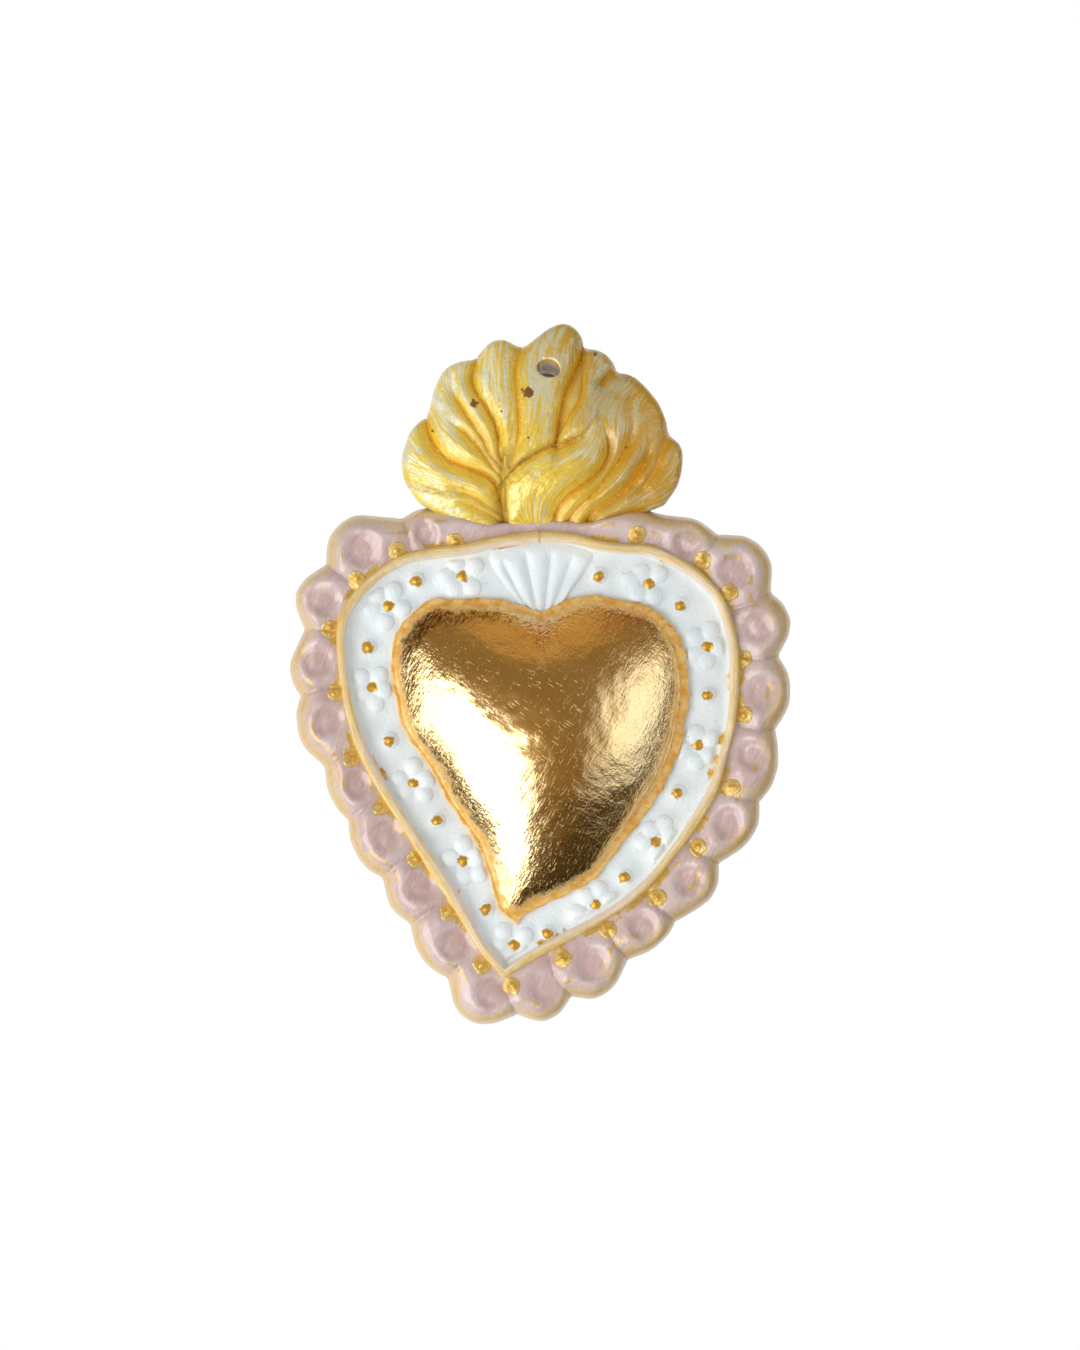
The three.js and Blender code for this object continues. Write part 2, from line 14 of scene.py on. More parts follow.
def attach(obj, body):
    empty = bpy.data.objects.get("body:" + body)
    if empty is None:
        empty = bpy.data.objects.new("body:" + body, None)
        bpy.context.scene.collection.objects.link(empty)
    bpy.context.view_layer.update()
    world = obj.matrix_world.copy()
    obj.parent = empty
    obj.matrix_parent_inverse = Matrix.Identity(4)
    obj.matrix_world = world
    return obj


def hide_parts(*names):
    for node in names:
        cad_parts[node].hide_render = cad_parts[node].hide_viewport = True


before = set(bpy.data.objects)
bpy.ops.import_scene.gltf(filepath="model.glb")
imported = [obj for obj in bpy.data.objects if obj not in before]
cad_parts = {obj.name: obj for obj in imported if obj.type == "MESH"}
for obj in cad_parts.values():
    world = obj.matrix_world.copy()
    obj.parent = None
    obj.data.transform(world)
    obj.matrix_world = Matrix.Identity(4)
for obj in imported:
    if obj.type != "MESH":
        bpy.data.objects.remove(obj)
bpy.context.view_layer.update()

# Heights above the wall
SLAB_TOP = 5.0
FIELD_TOP = 9.0
BORDER_GROUND = 11.0
LOBE_TOP = 13.2
RIM_TOP = 13.2
FLAME_EDGE = 11.8               # top of the flames where their edge rolls over
FLANGE_TOP = 10.6

MM = 0.001                      # metres
SINK = 0.2                      # how far the border and the flames stand in the slab
RIM_HALF = (1.62, 0.3)          # half of the rim's width, and how much that varies
LOBE_ROLL = (5.4, 5.6)          # the border's edge rolls down by this, over this width
SEAM_DEPTHS = (1.5, 0.4)        # the dip between two lobes, and the line along its bottom
DISH_DEPTHS = (1.2, 1.7)
PETAL_SIZES, PETAL_RISES = (2.5, 2.9), (1.3, 1.6)
FLANGE_WIDTHS = (1.0, 1.3, 2.8)     # at the tip, and above it on the left and on the right
DOME_RISE = 15.0
DOME_WALL = 5.0
HOLLOW_INSET = 6.0              # from the heart's edge to the opening behind it

HEART_CENTRE = np.array([-3.0, -100.0])

# Middle of the rim, from the top to the tip on the right and back up on the left
RIM_RIGHT = [
    (-2.5, -50.5), (6.5, -51), (14.5, -53), (22, -54), (29, -54.5), (37, -58), (43, -62),
    (48.5, -68), (51.5, -76), (53, -84.5), (53, -94.5), (52, -104.5), (49.5, -114.5),
    (46.5, -123.5), (41.5, -132), (36, -140), (29, -148.5), (21, -155.5), (12, -161), (2.5, -166),
    (-5.5, -170.5), (-12.5, -175)]
RIM_LEFT = [
    (-12.5, -175), (-18.5, -168), (-23, -160.5), (-29, -150.5), (-36, -140), (-42.5, -130),
    (-48.5, -120), (-53, -111.5), (-56, -102.5), (-58, -93), (-59, -84.5), (-59, -76.5),
    (-57, -71), (-52.5, -65), (-46.5, -60), (-39.5, -56.5), (-31, -55), (-23, -54), (-14, -52),
    (-2.5, -50.5)]

# Edge of the gilded heart, from the cleft to the tip and back
HEART_RIGHT = [
    (-2, -72), (3.5, -69.5), (9, -67.5), (15.5, -67.5), (22.5, -69), (29.5, -71.5), (34, -75),
    (37.5, -80), (39.5, -87), (40, -95), (39, -103.5), (37, -112), (33, -121.5), (28.5, -128.5),
    (22, -137), (14.5, -146.5), (7.5, -151.5), (0.5, -154.5), (-5.5, -157.5), (-9, -161)]
HEART_LEFT = [
    (-9, -161), (-14, -156.5), (-16.5, -148.5), (-20, -138.5), (-24.5, -132), (-29, -125.5),
    (-32.5, -118.5), (-37, -112), (-41.5, -105), (-43.5, -97), (-45, -88), (-44.5, -81),
    (-42, -76), (-38.5, -72), (-33, -68.5), (-26.5, -68.5), (-19.5, -68), (-14, -68.5),
    (-8.5, -70), (-2, -72)]

# Where pink glints are painted into the crinkles of the leaf, a painted highlight: middle and half
# widths
PINK_GLINT_SPOTS = [(-36, -73, 8, 5), (-2.5, -77, 7, 4), (23, -72.5, 10, 4.5)]

# Scalloped edge of the border, from the right foot of the flames round the tip to their left foot
BORDER_EDGE = [
    (32.5, -44.2), (41, -45.1), (43.6, -46.2), (48.4, -49.8), (56.1, -50.2), (60.1, -52.4),
    (62.8, -55.7), (64, -59.1), (63.5, -66.5), (67, -69.3), (69.4, -74.2), (68.7, -78.8),
    (65.7, -84.5), (68.4, -89), (69.1, -91.9), (69.1, -97), (68.3, -99.9), (64.9, -105.6),
    (65.7, -110.7), (65.7, -116.4), (63.9, -121.8), (60.4, -126.4), (60.3, -131.5), (59.6, -133.8),
    (57.6, -137.3), (55, -139.9), (48.8, -143.8), (48.6, -149.7), (46.5, -153.9), (43, -156.6),
    (36.5, -160.5), (34.2, -164.4), (31.1, -167.4), (28.5, -169.2), (22.8, -171.3), (19.7, -177.8),
    (17.7, -180.1), (14.8, -182), (12.3, -182.7), (6.6, -181.9), (3.4, -186.7), (-0.6, -188.9),
    (-3.4, -188.9), (-8.8, -187.1), (-15.7, -189.7), (-20.2, -189.8), (-23.7, -188.3),
    (-26.2, -185.7), (-27.1, -183.9), (-28.7, -176.5), (-31.4, -175.4), (-35.3, -172.3),
    (-38, -167.7), (-39.3, -161.7), (-40.5, -160.2), (-43.6, -158.2), (-45.7, -155.4),
    (-47.3, -148), (-51.6, -145.6), (-54.2, -142.6), (-56.8, -136.9), (-57.1, -131.8),
    (-60.4, -128.2), (-62.4, -124.7), (-63.4, -121.5), (-63.9, -116.1), (-69.4, -111.3),
    (-71.3, -107.6), (-72.2, -101), (-70.9, -96.2), (-73.3, -91.9), (-74, -87.6), (-73.6, -85.6),
    (-69.7, -77.1), (-72.2, -70.5), (-72.2, -66.2), (-69.5, -62.4), (-63.5, -58.3), (-63.4, -53.7),
    (-62.4, -50), (-59.3, -46.5), (-55.9, -44.5), (-53.9, -44.2), (-41.9, -45.3), (-37.3, -42.6),
    (-24, -41), (0, -41), (22, -41)]

# Notches between the lobes, from the left of the flames round to their right
NOTCHES = [
    (-42, -45.5), (-63.6, -58.5), (-69.8, -77), (-71, -96), (-64, -115.5), (-57.2, -131.5),
    (-47.2, -148), (-39.2, -161.5), (-28.7, -176.3), (-9, -187.1), (6.6, -182), (22.6, -171.4),
    (36.4, -160.5), (48.7, -144), (60.3, -126.4), (64.9, -105.6), (65.7, -84.5), (63.5, -66.7),
    (48.4, -49.9)]

# Thumbed dishes: middle and radius
DISHES = [
    (-35, -49.5, 3.4), (-53, -54, 5.4), (-64.5, -68.5, 4.6), (-66, -86, 4.6), (-63, -103.5, 4.3),
    (-54.5, -121.5, 3.7), (-46, -136, 4.6), (-36, -150.5, 4.3), (-26.5, -166.5, 4.8),
    (-15.5, -180.5, 4.8), (-1, -179, 5.1), (13, -172.5, 5.1), (27.5, -161.5, 4.8),
    (40.5, -148.5, 4.8), (51.5, -132, 4.6), (58, -113, 4.8), (61, -95, 4.8), (59.5, -76.5, 4.8),
    (53.5, -59.5, 5.1), (40, -52, 4.3)]

# Flowers: their gilded middle, and where each petal's crown lies from it
FLOWERS = [
    ((-24.5, -62), [(3.5, 3.1), (-1.9, 4), (-4.6, 0), (-2.4, -3.7), (2.7, -3.2)]),
    ((-45.6, -70.4), [(-3.6, 3.2), (1.3, 4.2), (3.8, -0.7), (-1.1, -4.6), (-4.9, -0.8)]),
    ((-50.3, -93.5), [(-3.2, 2.9), (1.9, 3.3), (3.2, -0.8), (0.9, -4.6), (-2.7, -1.7)]),
    ((-38.4, -121), [(-4.3, 1.2), (0, 4.8), (3.6, 1.2), (2.9, -3.1), (-2.5, -2.7)]),
    ((-24.3, -143), [(-3.7, 0.7), (0.1, 4.6), (3.8, 1.2), (4.4, -3.6), (0.3, -4.3)]),
    ((-9.8, -167), [(-3.3, 3.9), (3, 2.6), (3.1, -2.3), (-1.4, -3.6), (-4.2, 0)]),
    ((13.6, -155.4), [(0.9, 4.2), (4.3, 1.1), (-2.8, 2.2), (-5.3, -2.4), (-1.6, -3.9)]),
    ((30.5, -137.5), [(-1.4, 3.2), (2.4, 4.9), (4.6, 1.1), (0.9, -3.7), (-3.4, 0)]),
    ((42.4, -110.2), [(-0.4, 3.2), (4.1, 2), (3.3, -2.6), (-0.3, -4.7), (-4, -1.5)]),
    ((45.1, -81.7), [(-3.4, 2.5), (1.1, 4.3), (3.6, -0.3), (0, -4.1), (-3.3, -2.1)]),
    ((28.7, -64.1), [(2.8, 3), (-2, 3.3), (-5.2, 1), (-3.4, -2.9), (1.3, -3.4)])]
PEARLS = [
    (-37.5, -63), (-51, -82), (-45, -108.5), (-31.5, -131.5), (-17.5, -156.5), (0, -163.5),
    (22, -147.5), (37, -123.5), (45.5, -95.5), (38, -70), (14.5, -61.5)]
STUDS = [
    (-26.5, -52), (-43, -54.5), (-54.5, -63), (-62, -77), (-60.5, -95), (-56, -113.5),
    (-47.5, -127.5), (-37.5, -142), (-28.5, -157.5), (-19, -172.5), (-10.5, -178.5), (4, -170.5),
    (17, -162.5), (31, -153.5), (42.5, -139), (52, -122), (55.5, -101.5), (55.5, -85.5),
    (51.5, -66.5), (44, -57.5), (25, -50)]

FAN_APEX = (-2.0, -79.0)
FAN_SPREAD = (-37.0, 33.5)      # degrees from straight up
FAN_FURROWS = (-27.5, -11.0, 7.0, 22.0)
FAN_REACH = 27.0
FURROW_REACH = 23.5

# Outline of the flames, clockwise from the left foot
FLAMES = [
    (-37.1, -40.9), (-40.5, -36), (-41.4, -33.8), (-41.9, -30), (-41.7, -26.9), (-39.7, -20.9),
    (-37.5, -18.3), (-34.3, -15.5), (-32.8, -9.2), (-30.6, -4.1), (-28.3, -1.9), (-25.4, -0.6),
    (-20.8, 0.2), (-18.2, 3.4), (-16, 5.3), (-12.5, 5.7), (-8.5, 3.6), (-6.8, 3.5), (0, 8.8),
    (3.4, 10.2), (5.1, 10.2), (7.4, 9.1), (9.6, 6.4), (10.2, 3.3), (13.7, 2.8), (16.3, 1.6),
    (18.8, -1.2), (19.6, -3.8), (22.2, -4.1), (24.9, -5.2), (28.4, -8.6), (31.4, -12.4),
    (33.4, -16.9), (34.3, -21.5), (37.5, -24.1), (38.3, -26.6), (38.3, -29.8), (37.7, -33.4),
    (36.8, -36.3), (33.2, -41.6), (28, -43.5), (18, -47), (12, -48.6), (4, -48.2), (-4, -47.8),
    (-12.5, -48.6), (-17, -49.2), (-23, -48), (-29.5, -45.5)]

# Creases between the tongues of flame, from the left round to the right. Each runs from its root
# outwards, and has a depth, how far the tongues beside it round off, how far the side on its left
# lies below the right one, and whether it runs out to nothing at its root and at its tip
CREASES = list(enumerate([
    ([(-12.5, -46.5), (-17, -44.2), (-20, -42.3), (-23.4, -41.3), (-27, -40.6)], 1.7, 2.8, 0.3,
     (0, 1)),
    ([(-13, -44.5), (-17.5, -41.5), (-22, -38.9), (-26, -37.6), (-30, -37.4)], 1.9, 3.2, 0.4,
     (0, 1)),
    ([(-13, -42), (-15.2, -35.4), (-18.1, -33), (-21.4, -31.6), (-24.8, -30.4), (-28.1, -29),
     (-30.5, -26.9), (-32.4, -24.5), (-34, -21.2), (-34.7, -17.8), (-35, -15.5)], 3.8, 5.5, 0.9,
     (0, 0)),
    ([(-14.2, -32.5), (-16.2, -30.2), (-19, -26.4), (-21.9, -22.8), (-24.8, -20.2),
     (-27.1, -18.3), (-29.5, -16.4)], 2.6, 4.4, 0.5, (0, 1)),
    ([(-14, -30), (-16.7, -26.9), (-19, -22.1), (-23.3, -15.9), (-25.7, -12.1), (-27.1, -8.8),
     (-27.4, -4.1), (-27, -2)], 2.4, 3.6, 0.5, (0, 1)),
    ([(-13.2, -28.5), (-13.8, -26.9), (-14.1, -22.6), (-15.2, -18.3), (-16.7, -15.5),
     (-18.1, -13.1), (-20, -10.2), (-21.4, -7.4), (-21.7, -5), (-21, -2.2), (-20.5, 1)], 3.0, 4.2,
     0.7, (0, 0)),
    ([(-11, -31), (-10, -27.8), (-8.6, -22.6), (-8.4, -15.9), (-8.8, -9.8), (-9.3, -4.1),
     (-8.8, -0.3), (-7.6, 4)], 1.9, 5.0, 0.5, (0, 0)),
    ([(1.8, -25), (2.6, -20.7), (3, -16.9), (3.8, -13.1), (4.7, -9.3), (6.6, -5.5), (8.5, -1.2),
     (9.9, 3.5)], 3.4, 4.6, -0.9, (0, 0)),
    ([(3.8, -20.5), (6.3, -16), (9, -12.4), (10, -7), (10.2, -2), (10.2, 3.3)], 1.2, 3.0, 0.9,
     (0, 1)),
    ([(13.8, -9.5), (14.9, -7.9), (16.1, -5.7), (19.2, -3.2)], 2.4, 3.2, 0.8, (1, 0)),
    ([(-12, -33.8), (-8.6, -30.2), (-4.3, -27.4), (-0.5, -25.4), (3.8, -24.3), (7.6, -23),
     (10.4, -21.4), (12.3, -18.8), (13.7, -16.4)], 1.7, 3.6, -1.6, (0, 1)),
    ([(1.6, -44.4), (2.8, -42), (5.6, -38.7), (9.5, -35.9), (13.2, -33), (16, -29.2),
     (16.8, -25.4), (16, -20.7), (14.2, -16.4)], 3.3, 4.6, -1.3, (0, 1)),
    ([(5.5, -46), (8, -43), (14.5, -36.5), (21, -27.5), (23, -23), (24, -17.5), (22.8, -12)], 2.7,
     4.2, -0.5, (0, 1)),
    ([(10.9, -46), (13.3, -43), (18, -40.2), (22.8, -36.4), (25.1, -33), (27.5, -28.8),
     (28.9, -24.5), (29.4, -19.7)], 3.5, 4.4, -0.7, (0, 1)),
    ([(21, -42), (26, -37.5), (30.5, -31.5), (32.2, -26.5), (35, -21)], 2.0, 4.0, -0.3, (1, 0)),
    ([(14, -47.5), (20.5, -44.5), (26, -43), (31, -42)], 1.4, 2.6, -0.3, (0, 1))]))
# The deep fold that all tongues on the left spring from, and the brush's way along its right side
CREASES.append((5.5, ([(-12.6, -47.5), (-13, -40), (-13.2, -35), (-13.2, -29)],
                      2.6, 3.2, 0.5, (0, 0))))
CREASES.append((10.1, ([(-11.2, -48.5), (-11.6, -41), (-11.8, -35.5)], 0, 1.0, 0, (0, 0))))
FLAME_ROOT = (-11.0, -45.0)
# The fold that the tongues above it run into, and the tongues met along it: share of its length,
# and which
LONG_FOLD = 10
LONG_FOLD_BANK = ((0.0, 0.45, 1.0), (6.0, 7.0, 9.8))
# Where the paint of the flames has chipped off: place and radius
CHIPS = [
    (-5.8, -9.6, 1.9), (-21.2, -12.8, 1.5), (-13.4, -15.2, 0.5), (-5.7, -22.7, 0.5),
    (-20, 1.5, 0.8), (22, -25.3, 0.4), (13.2, 1.5, 0.7), (-33, -20.5, 0.5)]
MOUTH = (0.0, -9.0)             # back mouth of the hanging hole
HOLE_RADII = (3.4, 2.75)
HOLE_TURN = -30.0               # degrees, from x to the long axis of its oval
HOLE_FALL = 23.5                # degrees, it falls towards the wall

rng = np.random.default_rng(7)


# Lines

def evened(line, step, more=0):
    """The line again, with points about that far apart."""
    length = np.r_[0, np.cumsum(np.hypot(*np.diff(line, axis=0).T))]
    even = np.linspace(0, length[-1], max(3, round(length[-1] / step) + more))
    return np.column_stack([np.interp(even, length, line[:, i]) for i in (0, 1)])


def spline(points, step=0.9):
    """A smooth line through the points, with a point at every step."""
    p = np.array(points, float)
    p = np.vstack([2 * p[0] - p[1], p, 2 * p[-1] - p[-2]])
    t = np.linspace(0, 1, 20, endpoint=False)[:, None]
    runs = []
    for a, b, c, d in zip(p[:-3], p[1:-2], p[2:-1], p[3:]):
        runs.append(0.5 * (2 * b + (c - a) * t + (2 * a - 5 * b + 4 * c - d) * t ** 2
                           + (3 * b - a - 3 * c + d) * t ** 3))
    return evened(np.vstack(runs + [p[-2:-1]]), step, 1)


def rounded(points, radius, step=1.0):
    """The closed line through the points, with its corners rounded."""
    line = evened(np.array(list(points) + [points[0]], float), 0.5)[:-1]
    for _ in range(round(8 * radius ** 2)):
        line = (np.roll(line, 1, 0) + 2 * line + np.roll(line, -1, 0)) / 4
    return line[::round(step / 0.5)]


# Sheets: values worked out on a fine grid, and read anywhere between its points

class Sheet:
    def __init__(self, low, high, step):
        self.low, self.step = np.array(low, float), step
        count = np.ceil((np.array(high) - self.low) / step).astype(int) + 1
        axes = [self.low[i] + step * np.arange(count[i]) for i in (0, 1)]
        self.x, self.y = np.meshgrid(*axes, indexing="ij")

    def read(self, values, x, y):
        """The values at any places, by cubic interpolation."""
        px, py = (np.clip((np.asarray(place) - first) / self.step, 1, count - 2.001)
                  for place, first, count in zip((x, y), self.low, values.shape))
        ix, iy = px.astype(int), py.astype(int)
        wx, wy = cubic_weights(px - ix), cubic_weights(py - iy)
        return sum(wx[i] * sum(wy[j] * values[ix + i - 1, iy + j - 1] for j in range(4))
                   for i in range(4))

    def take(self, other, values):
        """The values of another sheet, at the points of this one."""
        return other.read(values, self.x, self.y)

    def away(self, x, y):
        """Distance to a place."""
        return np.hypot(self.x - x, self.y - y)

    def nearest(self, line, closed=False):
        """Distance to a line, the length along it, and the side: positive on its left."""
        ends = np.vstack([line, line[:1]]) if closed else line
        best = np.full(self.x.shape, np.inf)
        along = np.zeros(self.x.shape)
        side = np.zeros(self.x.shape)
        inside = np.zeros(self.x.shape, bool)
        reached = 0.0
        for (ax, ay), (bx, by) in zip(ends[:-1], ends[1:]):
            dx, dy = bx - ax, by - ay
            length = math.hypot(dx, dy)
            if length < 1e-9:
                continue
            rx, ry = self.x - ax, self.y - ay
            t = np.clip((rx * dx + ry * dy) / length ** 2, 0, 1)
            gap = (rx - t * dx) ** 2 + (ry - t * dy) ** 2
            nearer = gap < best
            best = np.where(nearer, gap, best)
            along = np.where(nearer, reached + t * length, along)
            side = np.where(nearer, dx * ry - dy * rx, side)
            if closed and dy:
                level = (ay > self.y) != (by > self.y)
                inside ^= level & (self.x < ax + dx * (self.y - ay) / dy)
            reached += length
        distance = np.sqrt(best)
        if closed:
            return np.where(inside, -distance, distance), along
        return distance, along, np.sign(side)

    def cloud(self, size, seed):
        """Soft random bumps about that wide, between about -1 and 1."""
        draw = np.random.default_rng(seed)
        extent = np.array(self.x.shape) * self.step
        knots = Sheet(self.low - 3 * size, self.low + extent + 3 * size, size)
        return knots.read(draw.uniform(-1, 1, knots.x.shape), self.x, self.y)


def cubic_weights(t):
    return [((-0.5 * t + 1) * t - 0.5) * t, (1.5 * t - 2.5) * t * t + 1,
            ((-1.5 * t + 2) * t + 0.5) * t, (0.5 * t - 0.5) * t * t]


def smooth(value, low, high):
    t = np.clip((value - low) / (high - low), 0, 1)
    return t * t * (3 - 2 * t)


def meet(a, b, radius):
    """Where two solids overlap, with the edge between them rounded."""
    return (np.minimum(np.maximum(a, b), -radius)
            + np.hypot(np.maximum(a + radius, 0), np.maximum(b + radius, 0)))


# Solids

def nets(values):
    """The corners, in cells, and quads of the surface between negative and positive values."""
    inside = values < 0
    cells = tuple(n - 1 for n in values.shape)
    total = np.zeros(cells + (3,), np.float32)
    count = np.zeros(cells, np.int8)
    crossings = []
    for axis in range(3):
        others = [i for i in range(3) if i != axis]
        v = np.moveaxis(values, axis, 0)
        low_inside = np.moveaxis(inside, axis, 0)[:-1]
        cross = low_inside != np.moveaxis(inside, axis, 0)[1:]
        gap = v[:-1] - v[1:]
        t = np.where(cross, v[:-1] / np.where(cross, gap, 1), 0)
        sums, counts = np.moveaxis(total, axis, 0), np.moveaxis(count, axis, 0)
        for p in (0, 1):
            for q in (0, 1):
                part = np.s_[:, p:cross.shape[1] - 1 + p, q:cross.shape[2] - 1 + q]
                sums[..., axis] += t[part]
                sums[..., others[0]] += p * cross[part]
                sums[..., others[1]] += q * cross[part]
                counts += cross[part]
        crossings.append((axis, cross, low_inside))
    used = count > 0
    number = np.full(cells, -1, np.int64)
    number[used] = np.arange(used.sum())
    points = np.argwhere(used) + total[used] / count[used][:, None]
    quads = []
    for axis, cross, low_inside in crossings:
        ids = np.moveaxis(number, axis, 0)
        i, j, k = np.nonzero(cross[:, 1:-1, 1:-1])
        j, k = j + 1, k + 1
        quad = np.column_stack([ids[i, j - 1, k - 1], ids[i, j, k - 1], ids[i, j, k],
                                ids[i, j - 1, k]])
        turn = low_inside[i, j, k] == (axis == 1)
        quad[turn] = quad[turn][:, ::-1]
        quads.append(quad)
    return points, np.vstack(quads)


def settled(points, shape, cell):
    """Moves the points onto the surface where the shape's value is nothing."""
    small = 0.06 * cell
    for _ in range(3):
        slope = np.column_stack([shape(*(points + nudge).T) - shape(*(points - nudge).T)
                                 for nudge in small * np.eye(3)]) / (2 * small)
        step = -shape(*points.T)[:, None] * slope / np.maximum((slope ** 2).sum(1), 0.3)[:, None]
        length = np.maximum(np.linalg.norm(step, axis=1), 1e-9)[:, None]
        points = points + step * np.minimum(1, 0.4 * cell / length)
    return points


def placed(name, data):
    """A new object in the scene."""
    thing = bpy.data.objects.new(name, data)
    bpy.context.scene.collection.objects.link(thing)
    return thing


def add_mesh(name, points, faces, marks, paint, nodes):
    """A piece of the ornament, from points in the bench frame."""
    points = np.asarray(points)
    mesh = bpy.data.meshes.new(name)
    x, y, z = (points - [*MOUTH, 0]).T * MM
    mesh.from_pydata(np.column_stack([x, -z, y]).tolist(), [], [list(face) for face in faces])
    mesh.polygons.foreach_set("use_smooth", np.ones(len(mesh.polygons), bool))
    for label, values in marks.items():
        mesh.attributes.new(label, "FLOAT", "POINT").data.foreach_set(
            "value", np.ascontiguousarray(values, np.float32))
    mesh.materials.append(paint)
    piece = placed(name, mesh)
    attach(piece, "root")
    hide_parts(*nodes)


def carve(name, sheet, edge, top, bottom, cell, radii, paint, slot, nodes, marks=None, hole=None):
    """A piece whose front is a height over the sheet, cut off at an edge and flat behind."""
    front_radius, back_radius = radii
    slope_x, slope_y = np.gradient(top, sheet.step)
    lean = 1 / np.sqrt(1 + slope_x ** 2 + slope_y ** 2)

    def shape(x, y, z):
        front = (z - sheet.read(top, x, y)) * sheet.read(lean, x, y)
        body = meet(front, sheet.read(edge, x, y), front_radius)
        body = meet(body, bottom - z, back_radius)
        return body if hole is None else meet(body, hole(x, y, z), 0.5)

    inside = (edge < 0) & (top > bottom)
    within = sheet.x[inside], sheet.y[inside], top[inside]
    low = np.array([within[0].min(), within[1].min(), bottom]) - 2.3 * cell
    axes = [first + cell * np.arange(math.ceil((values.max() - first) / cell) + 4)
            for first, values in zip(low, within)]
    grid = np.meshgrid(*axes, indexing="ij", sparse=True)
    points, quads = nets(shape(*grid).astype(np.float32))
    points = settled(low + cell * points, shape, cell)
    read = {label: given(*points.T) if callable(given) else sheet.read(given, *points[:, :2].T)
            for label, given in (marks or {}).items()}
    add_mesh(name, points, quads, read, paint, nodes)


# Paints and finishes

def linear(code):
    """Scene-linear colour of an sRGB hex code."""
    parts = [int(code[i:i + 2], 16) / 255 for i in (0, 2, 4)]
    return [v / 12.92 if v <= 0.04045 else ((v + 0.055) / 1.055) ** 2.4 for v in parts] + [1.0]


class Value:
    """What a node gives. Sums and products of values are worked out by further nodes."""

    def __init__(self, graph, socket):
        self.graph, self.socket = graph, socket

    def __add__(self, other):
        return self.graph.calc("ADD", self, other)

    def __sub__(self, number):
        return self + -number

    def __mul__(self, other):
        return self.graph.calc("MULTIPLY", self, other)


class Graph:
    """The nodes of a material or a world. Each method adds a node and gives its value."""

    def __init__(self, owner):
        owner.use_nodes = True
        self.owner, self.tree = owner, owner.node_tree
        self.tree.nodes.clear()

    def node(self, kind, given, out=0, **settings):
        """given holds the node's inputs, by name or number."""
        node = self.tree.nodes.new("ShaderNode" + kind)
        for label, value in settings.items():
            setattr(node, label, value)
        for label, value in given.items():
            if isinstance(value, Value):
                self.tree.links.new(value.socket, node.inputs[label])
            else:
                node.inputs[label].default_value = value
        return Value(self, node.outputs[out]) if node.outputs else None

    def calc(self, kind, a, b=0.0):
        return self.node("Math", {0: a, 1: b}, operation=kind)

    def most(self, a, b):
        return self.calc("MAXIMUM", a, b)

    def ramp(self, value, low, high, start=0.0, end=1.0):
        """Runs smoothly from start to end while the value runs from low to high."""
        return self.node("MapRange", {"Value": value, "From Min": low, "From Max": high,
                                      "To Min": start, "To Max": end},
                         interpolation_type="SMOOTHSTEP")

    def mix(self, share, a, b):
        a, b = (linear(colour) if isinstance(colour, str) else colour for colour in (a, b))
        return self.node("Mix", {0: share, 6: a, 7: b}, 2, data_type="RGBA")


class Paint(Graph):
    """A material whose patterns are measured in millimetres of the object."""

    def __init__(self, name):
        super().__init__(bpy.data.materials.new(name))
        self.place = self.scaled(self.node("TexCoord", {}, "Object"), (1000, 1000, 1000))

    def scaled(self, vector, factors):
        return self.node("Mapping", {"Vector": vector, "Scale": factors})

    def joined(self, x, y):
        return self.node("CombineXYZ", {0: x, 1: y})

    def mark(self, label):
        return self.node("Attribute", {}, "Fac", attribute_name=label)

    def noise(self, scale, detail=2.0, rough=0.5, seed=0.0, vector=None, warp=0.0):
        given = {"Vector": vector or self.place, "W": seed, "Scale": scale, "Detail": detail,
                 "Roughness": rough, "Distortion": warp}
        return self.node("TexNoise", given, noise_dimensions="4D")

    def strokes(self, across, along, turn, detail, rough, seed, warp=0.0):
        """Noise of that fineness across and along strokes that are turned by an angle."""
        vector = self.place
        if turn:
            vector = self.node("Mapping", {"Vector": vector, "Rotation": (0, turn, 0)})
        return self.noise(1.0, detail, rough, seed, self.scaled(vector, (across, 1, along)), warp)

    def bump(self, height, depth, below=None):
        """depth is in millimetres for a height that runs from 0 to 1."""
        given = {"Height": height, "Distance": depth * MM}
        return self.node("Bump", given if below is None else {**given, "Normal": below})

    def finish(self, **values):
        values = {label.replace("_", " "): value for label, value in values.items()}
        self.node("OutputMaterial", {0: self.node("BsdfPrincipled", values)})
        return self.owner


def gilded(p, mask, base, roughness, gold, gold_roughness, metal):
    """Mixes gold paint over another paint where the mask is 1."""
    return {"Base_Color": p.mix(mask, base, gold),
            "Metallic": mask * metal,
            "Roughness": mask * (gold_roughness - roughness) + roughness}


